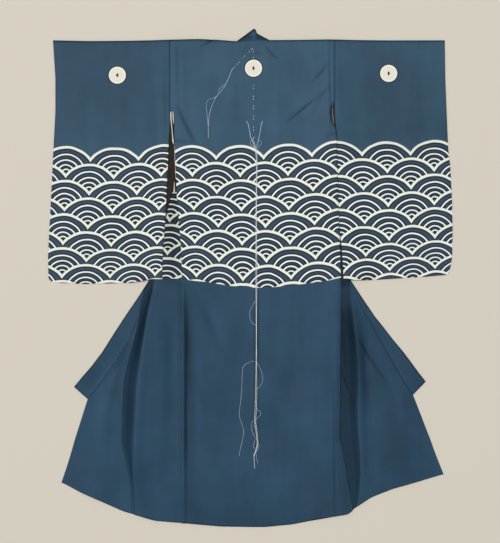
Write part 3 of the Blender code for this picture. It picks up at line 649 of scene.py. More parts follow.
# The columns of discs on the back: x at the top row and at the sixth row below it, and how far
# down the tops of the discs are at the top row and at the sixth and the eighth below it. The rows
# sag a little in the middle of the back, because the waves were drawn by hand.
BODY_WAVES = (
    (-226.5, -220, 218, 421, 489), (-128.1, -120.5, 215, 420.5, 489.5),
    (-29.7, -24.2, 214.5, 424.5, 497.5), (67.7, 73.8, 211.5, 422.5, 494.5),
    (168.3, 176.4, 205.5, 413, 483), (266, 274, 200, 407, 473),
)
BODY_WAVES_END = (  # x, down
    (-200, 488), (-140, 491), (-96, 495), (-49, 503), (2, 506.5), (43, 505.5), (94, 500),
    (145, 493), (178, 486),
)


def wave_field(waves, end, x, down):
    """Where a point is among the waves: across from a column, below the top row, above the end."""
    top_x, low_x, *levels = (np.array(column, float) for column in zip(*waves))
    share = (down - levels[0].mean()) / (levels[1].mean() - levels[0].mean())
    columns = [top + (low - top) * share for top, low in zip(top_x, low_x)]
    across = np.zeros(np.broadcast(x, down).shape)
    level_downs = [across + level[0] for level in levels]
    for k, (left, right) in enumerate(zip(columns, columns[1:])):
        part = (x - left) / (right - left)
        here = (part >= 0) | (k == 0)
        across = np.where(here, (k + part) * WAVE_WIDTH, across)
        part = np.clip(part, 0, 1)
        for n, level in enumerate(levels):
            level_down = level[k] + (level[k + 1] - level[k]) * part
            level_downs[n] = np.where(here, level_down, level_downs[n])
    tops, sixths, eighths = level_downs
    upper = (down - tops) / (sixths - tops) * 6
    lower = 6 + (down - sixths) / (eighths - sixths) * 2
    return across, np.where(down < sixths, upper, lower) * ROW_STEP, between(end, x) - down


BACK_MARK = (-1.0, 57.2)
BAND_DEPTH = 500.0
ACROSS_STEP = 2.5
BAND_STEP = 2.3
SKIRT_STEP = 5.0
HEM_STEP = 3.5
HEM_ROLL = 0.5
HEM_ROLL_REACH = 4.0
NAPE_BARE = 0.9  # as much of the shoulder line as the collar's peak hides
ARMHOLE = 150.0
OPEN_SIDE = 0.6
RING_LESS_FROM = RIGHT_SEAM - 20
share = stops(LOOM_WIDTH, ACROSS_STEP)
depth = np.concatenate([
    np.arange(GRID_STEP, BAND_DEPTH, BAND_STEP), np.arange(BAND_DEPTH, LEVEL_DEPTH, SKIRT_STEP),
    np.arange(LEVEL_DEPTH, BODY_LENGTH - 1.0, HEM_STEP), [BODY_LENGTH],
])[:, None]
edges_at = back_stations(depth)
x = edges_at[0][0] + (edges_at[-1][0] - edges_at[0][0]) * share
down = drop(x, depth)
hem_roll = HEM_ROLL * np.exp(-(((BODY_LENGTH - depth) / HEM_ROLL_REACH) ** 2))
z = back_top(x, depth) + hem_roll
# The rows that turn over the shoulder fold come first
turns = np.radians(SHOULDER_TURNS)[:, None]
z = np.concatenate([z[:1] - SHOULDER_RADIUS * (1 - np.sin(turns)), z])
down = np.concatenate([SHOULDER_RADIUS * (1 - np.cos(turns)) + 0.0 * x[:1], down])
x = np.concatenate([0.0 * turns + x[:1], x])
from_left, from_right = x - x[:, :1], x[:, -1:] - x
from_hem = BODY_LENGTH - np.concatenate([0.0 * turns, depth])
nape = np.exp(-(((x - BACK_MARK[0]) / NAPE_REACH) ** 6))
# Painted shade on the back: its shade lines, the shoulder line that the collar's peak partly hides, the
# seamed sides and the hem
back_fold = creased(BACK_SHADE_LINES, x, down)
back_fold += beside(down, SHOULDER_LINE, SHOULDER_LINE_WIDTH) * (1 - NAPE_BARE * nape)
seamed = np.where(down < ARMHOLE, 1.0, np.where(down < BAND_DEPTH, OPEN_SIDE, 0.0))
back_fold += seamed * (beside(from_left) + beside(from_right))
back_fold += beside(from_hem, HEM_LINE, HEM_LINE_WIDTH)
# Painted highlight a little inside both side edges, lower down the back
painted_gleam = between(PAINTED_EDGE_GLEAM, down)
for away in (from_left, from_right):
    back_fold -= painted_gleam * beside(away - GLEAM_FROM_EDGE, 1.0, GLEAM_WIDTH)
back = shell(
    "back_panel", place(x, down + shoulder_shift(x, down), z), [indigo, lining_silk],
    {
        "wave": wave_field(BODY_WAVES, BODY_WAVES_END, x, down),
        "mark": (x - BACK_MARK[0], down - BACK_MARK[1], 1.0),
        "fold": (back_fold, x > RING_LESS_FROM, 0.0),
    },
)
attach(back, "root")
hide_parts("back")

# The two front panels: half a width each, hidden under the back at the top and turned out to the
# sides below the sleeves. The left one is raised in a long soft fold, and the right one sinks into
# a valley beside the back and rises over a low lip.
LEFT_FRONT_SECTIONS = (  # depth, inner x and z, crest x and z, outer x and z
    (0, -36, 2.7, -104, 2.7, -172.35, 2.7),
    (190, -84, 2.7, -128, 2.7, -172.35, 2.7),
    (230, -93, 2.7, -138, 2.7, -183, 2.7),
    (300, -110, 2.7, -150, 2.7, -190, 2.7),
    (400, -125, 2.7, -165, 2.7, -202, 2.7),
    (470, -144.5, 2.7, -185, 2.7, -206, 2.7),
    (500, -144.5, 2.7, -204, 3.2, -210, 2.7),
    (530, -144.5, 2.6, -211, 8.0, -223, 2.7),
    (560, -144.5, 2.5, -217, 12.0, -233, 2.7),
    (574, -144.5, 2.5, -219.5, 13.0, -236, 2.7),
    (600, -144.5, 2.5, -224, 14.5, -242, 1.2),
    (658, -144.5, 2.5, -233, 17.0, -257, 0.5),
    (700, -144.5, 2.5, -239, 18.0, -267, 0.3),
    (757, -144.5, 2.5, -242.5, 18.0, -269, 0.3),
    (825, -144.0, 2.5, -246.5, 16.0, -271, 0.3),
    (870, -144.0, 2.4, -247.5, 12.0, -263, 0.3),
    (918, -143.5, 2.2, -247.5, 7.0, -253, 0.3),
    (950, -143.5, 2.1, -245, 5.0, -251, 0.3),
    (997.4, -143.5, 1.9, -243, 3.5, -250, 0.3),
)
RIGHT_FRONT_SECTIONS = (  # depth, inner x and z, valley x and z, lip x and z, outer x and z
    (0, 32, 2.7, 80, 2.7, 122, 2.7, 164.85, 2.7),
    (135, 66, 2.7, 101, 2.7, 132, 2.7, 164.85, 2.7),
    (158, 74, 2.7, 105, 2.7, 136, 2.7, 169.8, 2.7),
    (230, 91, 2.7, 118, 2.7, 146, 2.7, 174, 2.7),
    (300, 106, 2.7, 132, 2.7, 158, 2.7, 182, 2.7),
    (400, 122, 2.7, 146, 2.7, 170, 2.7, 191, 2.7),
    (470, 173, 2.7, 181, 2.7, 189, 2.7, 195, 2.7),
    (500, 175.5, 2.7, 185, 2.7, 193, 3.2, 198, 2.7),
    (533, 175.5, 2.6, 187, 2.7, 199, 5.0, 214, 2.7),
    (560, 175, 1.5, 188, 2.7, 202, 7.0, 227, 2.7),
    (574, 174.5, 0.8, 188, 1.2, 204, 8.0, 232, 2.7),
    (600, 174.5, 0.5, 189, 0.4, 207.5, 9.0, 233, 0.9),
    (658, 173.5, 0.5, 192, 0.3, 212.5, 9.5, 235.2, 0.4),
    (708, 173, 0.5, 192, 0.3, 213.2, 9.0, 237, 0.3),
    (771, 172, 0.5, 192, 0.3, 212, 6.5, 239.5, 0.3),
    (826, 173, 0.5, 196, 0.3, 215.5, 5.5, 241.5, 0.3),
    (884, 184, 0.5, 203, 0.3, 219, 5.0, 243.7, 0.3),
    (940, 191.5, 0.5, 205, 0.3, 217, 4.5, 245.8, 0.3),
    (997.4, 199, 0.5, 206, 0.3, 215, 3.0, 248, 0.3),
)
SEAM_LEVEL = 3.0
SEAM_ROLLS = {-1: 1.0, 1: 0.15}  # the left overlap's seam is sharp, and the right one hardly shows
OVERLAP_TOP = 574.0
TURNED_FROM = 312.0  # above this the cloth lies lining up
FRONT_FROM = 4.5
WIDE_SIDE = (80.0, 1.8, (0.6, 1.2))  # width, step and finer steps from the back to the crest
NARROW_SIDE = (24.0, 1.5, (0.6, 1.2))  # and from the crest to the seam
# Strengths of the painted shade along a front's free edge and along its seam with the overlap
FREE_EDGE_LINE = 0.9
OVERLAP_SEAM_LINE = 0.4
NO_MARK = (500.0, 500.0, 0.0)
# Painted shade in the deep folds of the skirts, in the tables' darkness column
LEFT_RECESS = (  # down, left x, right x, darkness
    (491, -224, -204, 1.0), (522, -228, -210, 1.1), (542, -233.7, -214, 1.1),
    (583, -238, -221.4, 1.15), (613, -246, -226.5, 1.15), (645, -256, -231.4, 1.05),
    (680, -268, -236.5, 0.9), (706, -272, -239.5, 0.82), (768, -274, -243.2, 0.78),
    (829, -274, -246.7, 0.75), (860, -268, -247.5, 0.68), (895, -258, -247.6, 0.5),
    (915, -253, -247.6, 0.3), (950, -251, -246, 0.0),
)
RIGHT_RECESS = (
    (480, 150, 196.8, 0.95), (524, 150, 197.8, 1.05), (573, 150, 203.5, 1.14), (614, 150, 208.3, 1.1),
    (655, 150, 212, 1.03), (696, 150, 213.2, 1.05), (745, 150, 211.2, 1.06), (803, 150, 213.2, 1.04),
    (844, 150, 217.3, 1.02), (885, 150, 218.5, 1.0), (926, 150, 215.3, 0.95), (950, 150, 211, 0.9),
)
# How soft the painted shade's edges are, how far above a table it starts, and how it slants
RECESS_EDGE = 0.5
RECESS_LEAD = 30.0
RECESS_SLANTS = {-1: 0.12, 1: 0.0}  # how much darker the left fold is on its outer side
LEFT_FRONT_WAVES = (
    (-261.4, -276, 240, 444, 512), (-163, -178, 240, 444, 512), (-64.6, -80, 240, 444, 512),
)
RIGHT_FRONT_WAVES = (
    (76.6, 84, 226, 430, 498), (175, 183, 226, 430, 498), (273.4, 282, 226, 430, 498),
)
FRONT_WAVES_END = ((-300, 488), (300, 488))
LEFT_FRONT_CREASES = (
    (((-214, 640, -0.4), (-222, 760, -1.6), (-225, 880, -1.4), (-222, 975, -0.5)), 7),
    (((-176, 560, 0.3), (-183, 700, 1.3), (-190, 860, 1.6), (-193, 980, 0.8)), 12),
)
RIGHT_FRONT_CREASES = (
    (((176, 672, 0.4), (198, 737, 0.8), (209, 753, 0.4)), 3),
    (((229, 640, -0.2), (232, 780, -0.5), (233, 920, -0.3)), 5),
)
# Painted shade on the fronts, deepest inside the slits, a painted highlight where it is negative
LEFT_FRONT_SHADE_LINES = (
    (((-201.5, 500, -0.3), (-219, 583, -0.3), (-236.5, 706, -0.35), (-243.5, 829, -0.25)), 2.2),
    (((-172, 300, 1.5), (-170, 380, 1.5), (-168, 430, 1.3), (-168, 478, 0.9)), 24),
    (((-205, 520, 0.4), (-220, 583, 0.3), (-232, 640, 0.15)), 14),
    (((-222, 860, 0.1), (-224, 930, 0.35), (-222, 975, 0.3)), 15),
    (((-182, 540, 0.0), (-180, 640, 0.25), (-176, 740, 0.0)), 9),
    (((-152, 500, 0.35), (-151, 620, 0.3), (-150, 760, 0.2), (-150, 900, 0.15)), 5),
)
# Painted shade, shared by the right front and its overlap
RIGHT_SKIRT_SHADE = (  # on both sides of the seam between the front and its overlap
    (((250, 620, 0.3), (290, 740, 0.4), (300, 850, 0.4), (300, 940, 0.4)), 70),
    (((235, 700, 0.1), (240, 790, -0.2), (245, 870, -0.2), (250, 930, 0.1)), 13),
)
RIGHT_FRONT_SHADE_LINES = (
    (((172, 380, 2.6), (177, 410, 2.8), (181, 492, 2.8)), 9),
    (((177, 668, 0.3), (190, 706, 0.6), (199, 732, 0.6), (207, 748, 0.3)), 1.5),
    (((180, 560, 0.3), (186, 640, 0.35), (192, 700, 0.2)), 9),
    (((211, 606, 0.1), (223, 626, 0.6), (233, 645, 0.7), (243, 660, 0.6), (270, 696, 0.1)), 2.6),
    (((206, 560, 0.4), (222, 640, 0.55), (228, 720, 0.4), (228, 790, 0.1)), 14),
    (((217, 700, -0.2), (216, 780, -0.3), (220, 880, -0.3), (220, 930, -0.2)), 2.4),
    *RIGHT_SKIRT_SHADE,
)


def recess(table, x, down, outer_side=0.0):
    """How dark the painted shade of a deep fold is, between two edges that change down it."""
    left, right, dark = (between(table, down, column) for column in (1, 2, 3))
    dark = dark * (1 + outer_side * np.clip((right - x) / (right - left), 0, 1))
    for inward in (x - left, right - x):
        dark = dark / (1 + np.exp(-np.clip(inward / RECESS_EDGE, -30, 30)))
    return dark * (down > table[0][0] - RECESS_LEAD)


def front(name, node, sections, creases, waves, shade, fold_lines, outward):
    """One front panel. Its outer side is to the left where outward is -1, and to the right at 1."""
    depth = rows_between(FRONT_FROM)
    columns = [softened(sections, depth, index) for index in range(1, len(sections[0]))]
    stations = list(zip(columns[::2], columns[1::2]))
    inner_x, crest_x = stations[0][0], stations[-2][0]
    outer_x, outer_z = stations[-1]
    stations.insert(-1, (outer_x - outward * SEAM_LEVEL, outer_z))
    wide, narrow = stops(*WIDE_SIDE), stops(*NARROW_SIDE)[1:]
    x = np.concatenate(
        [inner_x + (crest_x - inner_x) * wide, crest_x + (outer_x - crest_x) * narrow], axis=1
    )
    if outward < 0:
        stations.reverse()
        x = x[:, ::-1]
    down = drop(x, depth)
    from_seam = np.abs(x - outer_x)
    seam_roll = SEAM_ROLLS[outward]
    z = profile(stations, x) + WALL + creased(creases, x, depth) + seam_roll * edge_roll(from_seam)
    # Painted shade: the deep fold, the shade lines, the free edge or seam and the hem
    seamed = np.where(down < OVERLAP_TOP, FREE_EDGE_LINE, OVERLAP_SEAM_LINE * seam_roll)
    fold = recess(shade, x, down, RECESS_SLANTS[outward]) + creased(fold_lines, x, down)
    fold += seamed * beside(from_seam) + beside(BODY_LENGTH - depth, HEM_LINE, HEM_LINE_WIDTH)
    panel = shell(
        name, place(x, down, z), [indigo, lining_silk, indigo],
        {
            "wave": wave_field(waves, FRONT_WAVES_END, x, down),
            "mark": NO_MARK,
            "fold": (fold, 0.0, 0.0),
        },
        inside_out=(down < TURNED_FROM)[1:, 1:],
    )
    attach(panel, "root")
    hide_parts(node)
    return panel


front_left = front(
    "front_panel_left", "front_left", LEFT_FRONT_SECTIONS, LEFT_FRONT_CREASES, LEFT_FRONT_WAVES,
    LEFT_RECESS, LEFT_FRONT_SHADE_LINES, -1,
)
front_right = front(
    "front_panel_right", "front_right", RIGHT_FRONT_SECTIONS, RIGHT_FRONT_CREASES,
    RIGHT_FRONT_WAVES, RIGHT_RECESS, RIGHT_FRONT_SHADE_LINES, 1,
)

# The two overlap panels: narrow gores of the same indigo silk, sewn along each front's free edge
# and to the collar band at their slanted top.
LEFT_COLLAR_END = 735.0
RIGHT_COLLAR_END = 726.0
OVERLAP_START = 561.0
LEFT_OUTER_EDGE = (
    (561, -233.0), (574, -240.0), (600, -250), (613, -255.5), (658, -282), (690, -306), (712, -321),
    (735, -341), (820, -368), (997.4, -395),
)
RIGHT_OUTER_EDGE = (
    (561, 227.0), (574, 236.0), (596, 248), (627, 265), (656, 282), (683, 297), (702, 309), (726, 326),
    (820, 362.4), (997.4, 389),
)
OVERLAP_SWELL = 3.0
SWELL_RISE = 150.0
OVERLAP_SETTLE = 60.0
SEAM_TUCK = 1.0
SEAM_DROP = 0.3
COLLAR_TUCK = 2.5
OVERLAP_WIDTH = 110.0
OUTER_EDGE_Z = 0.2
CLEAR = 0.15
NO_WAVES = (0.0, 400.0, -100.0)
# Painted shade on the overlaps, a painted highlight where it is negative
LEFT_OVERLAP_SHADE = (
    (((-262, 620, 0.4), (-280, 680, 0.35), (-296, 760, 0.1)), 6),
    (((-249, 614, 0.3), (-275, 660, 0.35), (-310, 704, 0.2)), 2.4),
    (((-290, 700, -0.1), (-320, 760, -0.25), (-335, 820, -0.1)), 12),
    (((-270, 850, 0.1), (-290, 910, 0.3), (-300, 950, 0.3)), 18),
)
RIGHT_OVERLAP_SHADE = (
    (((233, 645, 0.7), (243, 660, 0.7), (258, 682, 0.5), (276, 704, 0.1)), 2.6),
    (((240, 640, 0.2), (262, 690, 0.25), (280, 720, 0.1)), 9),
    (((252, 640, -0.15), (290, 720, -0.25), (310, 790, -0.1)), 12),
    *RIGHT_SKIRT_SHADE,
)
LEFT_OVERLAP_CREASES = (
    (((-300, 720, 0.2), (-318, 820, 1.3), (-330, 925, 0.9)), 15),
    (((-282, 700, -0.3), (-292, 820, -1.0), (-300, 940, -0.6)), 9),
)
RIGHT_OVERLAP_CREASES = (
    (((249, 640, 0.2), (268, 760, 1.2), (282, 910, 0.9)), 13),
    (((275, 680, -0.2), (300, 800, -0.9), (318, 900, -0.5)), 12),
)


def overlap(name, node, outer_edge, collar_end, seam_sections, creases, fold_lines, outward):
    """One overlap panel, from its seam with the front to its free edge."""
    depth = rows_between(OVERLAP_START)
    seam_roll = SEAM_ROLLS[outward]
    seam_x = softened(seam_sections, depth, -2) - outward * SEAM_TUCK
    tuck = COLLAR_TUCK * (depth < collar_end)
    outer_x = between(outer_edge, depth) + outward * tuck
    share = stops(OVERLAP_WIDTH)[::outward]
    x = seam_x + (outer_x - seam_x) * share
    down = drop(x, depth)
    from_seam, from_outer = np.abs(x - seam_x), np.abs(x - outer_x)
    seam_z = softened(seam_sections, depth, -1)
    settled = ease((depth - OVERLAP_TOP) / OVERLAP_SETTLE)
    outer_z = OUTER_EDGE_Z + (seam_z - OUTER_EDGE_Z) * (1 - settled)
    swell = OVERLAP_SWELL * ease((depth - OVERLAP_TOP) / SWELL_RISE)
    z = seam_z + (outer_z - seam_z) * ease(share * 2) + swell * np.sin(np.pi * share) ** 2
    z = z + WALL + creased(creases, x, depth) + edge_roll(from_outer)
    z = z + seam_roll * edge_roll(from_seam) - SEAM_DROP * (from_seam < SEAM_TUCK)
    z = np.maximum(z, SILK + CLEAR)
    # Painted shade: the shade lines, the seam, the free edge beside the collar and the hem
    fold = creased(fold_lines, x, down)
    fold += OVERLAP_SEAM_LINE * seam_roll * beside(from_seam - SEAM_TUCK)
    fold += FREE_EDGE_LINE * beside(from_outer - tuck) * (depth < collar_end)
    fold += beside(BODY_LENGTH - depth, HEM_LINE, HEM_LINE_WIDTH)
    panel = shell(
        name, place(x, down, z), [indigo, lining_silk],
        {"wave": NO_WAVES, "mark": NO_MARK, "fold": (fold, 0.0, 0.0)},
    )
    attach(panel, "root")
    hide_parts(node)
    return panel


overlap_left = overlap(
    "overlap_panel_left", "overlap_left", LEFT_OUTER_EDGE, LEFT_COLLAR_END, LEFT_FRONT_SECTIONS,
    LEFT_OVERLAP_CREASES, LEFT_OVERLAP_SHADE, -1,
)
overlap_right = overlap(
    "overlap_panel_right", "overlap_right", RIGHT_OUTER_EDGE, RIGHT_COLLAR_END,
    RIGHT_FRONT_SECTIONS, RIGHT_OVERLAP_CREASES, RIGHT_OVERLAP_SHADE, 1,
)

# The collar band: one long strip of the same silk, folded double lengthwise and sewn round the
# nape and down both fronts. Only its ends beside the overlaps and a small peak above the shoulder
# fold show.
COLLAR_TOP_Z = 2.3
COLLAR_WALL = 1.45
COLLAR_WIDTH = 32.0
COLLAR_ROLL = 1.4
# Painted shade along the band's edges: at its peak and below it, and along its inner edge on the left and
# right
PEAK_OUTLINE = (3.5, 3.3)  # strength, width
COLLAR_OUTLINE = (1.4, 2.1)
INNER_LINES = (0.3, 0.7)  # left, right
LEFT_COLLAR = (  # inner edge's down and x, outer edge's x and down
    (14, -1, -1, -24), (22, -6, -17, -12), (32, -10, -34, 0), (48, -16, -48, 34),
    (212, -74, -108, 198), (405, -146, -180, 392), (507, -188, -217, 494), (547, -213, -240, 530),
    (574, -240, -262, 562), (600, -250, -275, 582), (613, -255.5, -283, 594),
    (658, -282, -312, 640), (690, -306, -335, 670), (712, -321, -350, 687), (735, -341, -369, 710),
)
RIGHT_COLLAR = (
    (14, -1, -1, -24), (17, 0, 3, -23), (20, 2, 6, -15), (24, 5, 14.5, -10), (32, 8, 34, 0),
    (48, 14, 43, 34), (212, 66, 99, 198),
    (405, 132, 165, 392), (509, 171, 198, 491), (548, 207, 227, 535), (574, 236, 248, 566),
    (596, 248, 265, 587), (627, 265, 285, 613), (656, 282, 306, 638), (683, 297, 324, 662),
    (702, 309, 337, 680), (726, 326, 352, 699),
)
NAPE_CREASES = (
    (((1, -22, 1.2), (1, -2, 0.9)), 1.6),
    (((-26, -3, -1.1), (-6, -9, -0.9)), 1.6),
    (((8, -8, -1.1), (26, -3, -0.9)), 1.6),
)
# Painted shade on the band, a painted highlight where it is negative
COLLAR_SHADE_LINES = (
    (((-22, -4.5, 0.6), (-12, -6.5, 1.4), (-4, -5.5, 1.2)), 2.7),
    (((3, -7, 0.9), (8, -4.5, 1.4), (15, -3, 1.1)), 2.5),
    (((-0.5, -17, -0.1), (-0.5, -2, -0.3)), 1.6),
    (((-1, -15, -0.3), (-1, -8, -0.2)), 7),
    (((-20, 1.5, 0.35), (0, 2, 0.45), (14, 1.5, 0.35)), 1.6),
    (((-250, 560, 0.15), (-290, 625, 0.1), (-320, 670, 0.2), (-345, 705, 0.3)), 14),
    (((-232, 565, -0.2), (-255, 608, -0.3), (-282, 652, -0.35), (-340, 728, -0.3)), 2.6),
    (((238, 548, -0.3), (275, 598, -0.5), (300, 630, -0.2), (330, 680, 0.0)), 7),
    (((230, 545, 0.3), (290, 628, 0.35), (345, 705, 0.4)), 30),
)


def collar_half(table):
    """The x and the down of one half of the band, from its peak, across from its outer edge."""
    inner_down = rows_between(table[0][0], table[-1][0])
    inner_x, outer_x, outer_down = (between(table, inner_down, column) for column in (1, 2, 3))
    x = outer_x + (inner_x - outer_x) * collar_share
    return x, outer_down + (inner_down - outer_down) * collar_share


collar_share = stops(COLLAR_WIDTH, ACROSS_STEP)
left_x, left_down = collar_half(LEFT_COLLAR)
right_x, right_down = collar_half(RIGHT_COLLAR)
x = np.concatenate([left_x[:0:-1], right_x])
down = np.concatenate([left_down[:0:-1], right_down])
width = np.hypot(x[:, -1:] - x[:, :1], down[:, -1:] - down[:, :1])
z = COLLAR_TOP_Z + creased(NAPE_CREASES, x, down)
from_outer, from_inner = collar_share * width, (1 - collar_share) * width
z = np.maximum(z + COLLAR_ROLL * edge_roll(from_outer, from_inner), COLLAR_WALL + CLEAR)
# Painted shade: the outlines, the inner edge, the shade lines and the deep folds beside the skirts
collar_fold = np.where(
    down < 0, beside(from_outer, *PEAK_OUTLINE), beside(from_outer, *COLLAR_OUTLINE)
)
collar_fold += np.where(x < 0, *INNER_LINES) * beside(from_inner)
collar_fold += creased(COLLAR_SHADE_LINES, x, down)
collar_fold += recess(LEFT_RECESS, x, down) + recess(RIGHT_RECESS, x, down)
collar = shell(
    "collar_band", place(x, down, z)[:, ::-1], [indigo, indigo],
    {"wave": NO_WAVES, "mark": NO_MARK, "fold": (collar_fold[:, ::-1], 0.0, 0.0)},
    thickness=COLLAR_WALL,
)
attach(collar, "root")
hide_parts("collar")

# The two sleeves: one width of the same silk each, folded at the shoulder and sewn along the
# bottom, so that a sleeve is a flat tube. Its inner side is sewn to the body down to the open slit.
SLEEVE_WIDTH = 230.0
SLEEVE_LENGTH = 480.0
SLEEVE_FOLD = 3.0
SLEEVE_SWELL = 1.4
SLEEVE_LIFT = 0.1
LIFT_SLOPE = 45.0
LOWER_STEP = 8.0
FOLD_TURNS = (22.5, 45, 67.5, 90, 112.5, 135, 157.5)
PAST_THE_SLEEVE = ((-500, 530), (500, 530))
# Strengths of the painted shade along the sleeve's sewn and open inner side, its wrist and its bottom
SEWN_LINE = 0.9
OPEN_LINE = 0.5
WRIST_LINE = 0.4
BOTTOM_LINE = 0.5
LEFT_SLEEVE = {
    "inner": (  # down, x
        (0, -172.5), (146, -172.5), (151, -171.6), (167, -171.6), (190, -173), (213, -174.5),
        (253, -176), (292, -178), (350, -180.5), (407, -184.5), (450, -187.5), (490, -188),
    ),
    "outer": (
        (0, -412), (78, -407), (145, -407), (222, -411), (304, -415), (364, -418), (433, -421.8),
        (454, -422), (488, -421),
    ),
    "bottom": (  # x, down
        (-421, 488), (-413, 496), (-348, 499), (-258, 497), (-228, 493), (-210, 489), (-188, 489.5),
    ),
    "lift": ((0, 2.7), (145, 2.7), (175, 5.7), (330, 5.7), (400, 5.0), (500, 5.0)),
    "reach": ((0, -172.5), (190, -180), (230, -193), (300, -200), (400, -212), (500, -230)),
    "waves": (
        (-482.4, -490, 216, 422, 490), (-383.8, -391.5, 216.5, 423.5, 491),
        (-284.9, -292.7, 219.5, 427.5, 491), (-186.6, -198.9, 213.5, 422.5, 487),
        (-88, -105, 211, 419, 485),
    ),
    "mark": (-280.0, 71.3),
    "fold_lines": (
        (((-183, 12, 0.0), (-184, 80, 0.2), (-182, 150, 0.2), (-182, 215, 0.1)), 5),
        (((-300, -20, 0.38), (-300, 120, 0.44), (-300, 220, 0.1), (-300, 260, 0.0)), 200),
    ),
    "creases": (
        (((-250, 40, 0.2), (-262, 160, 0.7), (-270, 300, 0.3)), 20),
        (((-345, 60, -0.2), (-350, 180, -0.7), (-352, 300, -0.2)), 18),
    ),
}
RIGHT_SLEEVE = {
    "inner": (
        (0, 165), (146, 165), (157, 165.3), (170, 166.4), (180, 167.9), (190, 169.2),
        (204, 170.4), (274, 171.8), (343, 173.3), (400, 176.2), (418, 179.0), (484, 183.2),
        (490, 183.4),
    ),
    "outer": (
        (0, 391), (78, 392), (153, 395), (223, 398), (256, 402), (334, 406), (394, 407),
        (445, 406), (472, 401), (480, 397),
    ),
    "bottom": ((181, 487.5), (198, 491), (241, 491), (292, 488), (343, 485), (397, 480)),
    "lift": ((0, 2.7), (120, 2.7), (152, 4.8), (400, 4.8), (500, 4.8)),
    "reach": ((0, 165), (190, 172), (230, 184), (300, 192), (400, 201), (500, 212)),
    "waves": (
        (73, 86, 206, 414, 483), (169.4, 179.0, 207, 415, 483), (271.6, 276.8, 207, 415.2, 476.3),
        (368, 370.4, 204, 410, 471.6), (466, 464, 202, 405, 467),
    ),
    "mark": (275.9, 67.7),
    "fold_lines": (
        (((176, 12, 0.0), (177, 80, 0.25), (180, 150, 0.2)), 5),
        (((290, -20, 0.2), (290, 90, 0.36), (300, 190, 0.5), (300, 260, 0.0)), 180),
    ),
    "creases": (
        (((225, 50, 0.2), (235, 180, 0.7), (240, 320, 0.3)), 20),
        (((330, 60, -0.2), (338, 190, -0.7), (342, 320, -0.2)), 18),
    ),
}


def sleeve(name, node, sizes):
    """One sleeve, a tube of an under layer, the bottom fold, an upper layer and the shoulder fold."""
    inner, outer = sizes["inner"], sizes["outer"]
    share = stops(SLEEVE_WIDTH)[:, None]
    if outer[0][1] < inner[0][1]:
        share = share[::-1]
    low = between(sizes["bottom"], inner[-1][1] + (outer[-1][1] - inner[-1][1]) * share)
    radius = SLEEVE_FOLD / 2
    length = low - SLEEVE_FOLD
    folds = [(math.sin(turn), math.cos(turn)) for turn in np.radians(FOLD_TURNS)]
    under = np.linspace(0, 1, round(SLEEVE_LENGTH / LOWER_STEP) + 1)
    upper = np.linspace(1, 0, round(SLEEVE_LENGTH / GRID_STEP) + 1)
    # Each column of the grid: how far down, height, 1 on the upper layer, how much it swells
    grid = [(radius + length * at, 0.0, 0.0, 0.0) for at in under]
    grid += [(low - radius + radius * sine, radius - radius * cosine, 0.0, 0.0) for sine, cosine in folds]
    grid += [(radius + length * at, SLEEVE_FOLD, 1.0, math.sin(math.pi * at)) for at in upper]
    grid += [
        (radius - radius * sine + 0.0 * low, radius + radius * cosine, 0.0, 0.0)
        for sine, cosine in folds
    ]
    down_columns, *others = zip(*grid)
    down = np.concatenate(down_columns, axis=1)
    base_z, layer, swell = (np.array(column) for column in others)
    inner_x, outer_x = softened(inner, down, reach=8.0), softened(outer, down, reach=8.0)
    x = inner_x + (outer_x - inner_x) * share
    from_inner, from_outer = np.abs(x - inner_x), np.abs(x - outer_x)
    beyond = np.abs(x - MIDDLE_X) - np.abs(softened(sizes["reach"], down) - MIDDLE_X)
    raised = softened(sizes["lift"], down) * ease(1 - beyond / LIFT_SLOPE)
    z = SLEEVE_LIFT + base_z + SLEEVE_SWELL * np.sin(np.pi * share) * swell + raised
    z = z + layer * (creased(sizes["creases"], x, down) + edge_roll(from_inner, from_outer))
    mark_x, mark_down = sizes["mark"]
    # Painted shade on the upper layer: the shoulder line, the shade lines over its upper part and the
    # lines along its sides and bottom
    fold = layer * (
        beside(down, SHOULDER_LINE, SHOULDER_LINE_WIDTH) + creased(sizes["fold_lines"], x, down)
        + np.where(down < ARMHOLE, SEWN_LINE, OPEN_LINE) * beside(from_inner)
        + WRIST_LINE * beside(from_outer) + BOTTOM_LINE * beside(low - down)
    )
    item = shell(
        name, place(x, down + shoulder_shift(x, down), z), [indigo, lining_silk],
        {
            "wave": wave_field(sizes["waves"], PAST_THE_SLEEVE, x, down),
            "mark": (x - mark_x, down - mark_down, layer),
            "fold": (fold, 0.0, 0.0),
        },
        closed=True,
    )
    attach(item, "root")
    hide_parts(node)


sleeve("sleeve_tube_left", "sleeve_left", LEFT_SLEEVE)
sleeve("sleeve_tube_right", "sleeve_right", RIGHT_SLEEVE)

# The lining of the left front: thin brown silk, cut to the front's own outline and sewn in along
# its edges. Only the strip of it in the open slit beside the left sleeve shows, so only that is built.
LINING_TOP_Z = 4.9
LINING_WALL = 0.6
LINING_ROWS = 40
LEFT_LINING = (  # left x and down, right x and down
    (-172.0, 150, -167, 150), (-172.5, 176, -165, 180), (-177.0, 200, -161, 212),
    (-180.0, 238, -160, 258), (-183.0, 280, -162, 296), (-185.0, 318, -172, 326),
    (-186.0, 352, -180, 362),
)
rows = np.linspace(0, len(LEFT_LINING) - 1, LINING_ROWS)[:, None]
left_x, left_down, right_x, right_down = (
    np.interp(rows, range(len(LEFT_LINING)), column) for column in zip(*LEFT_LINING)
)
share = np.linspace(0, 1, 8)
x, down = left_x + (right_x - left_x) * share, left_down + (right_down - left_down) * share
lining = shell(
    "armhole_lining", place(x, down, LINING_TOP_Z), [lining_silk, lining_silk],
    thickness=LINING_WALL,
)
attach(lining, "root")
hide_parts("lining_left")

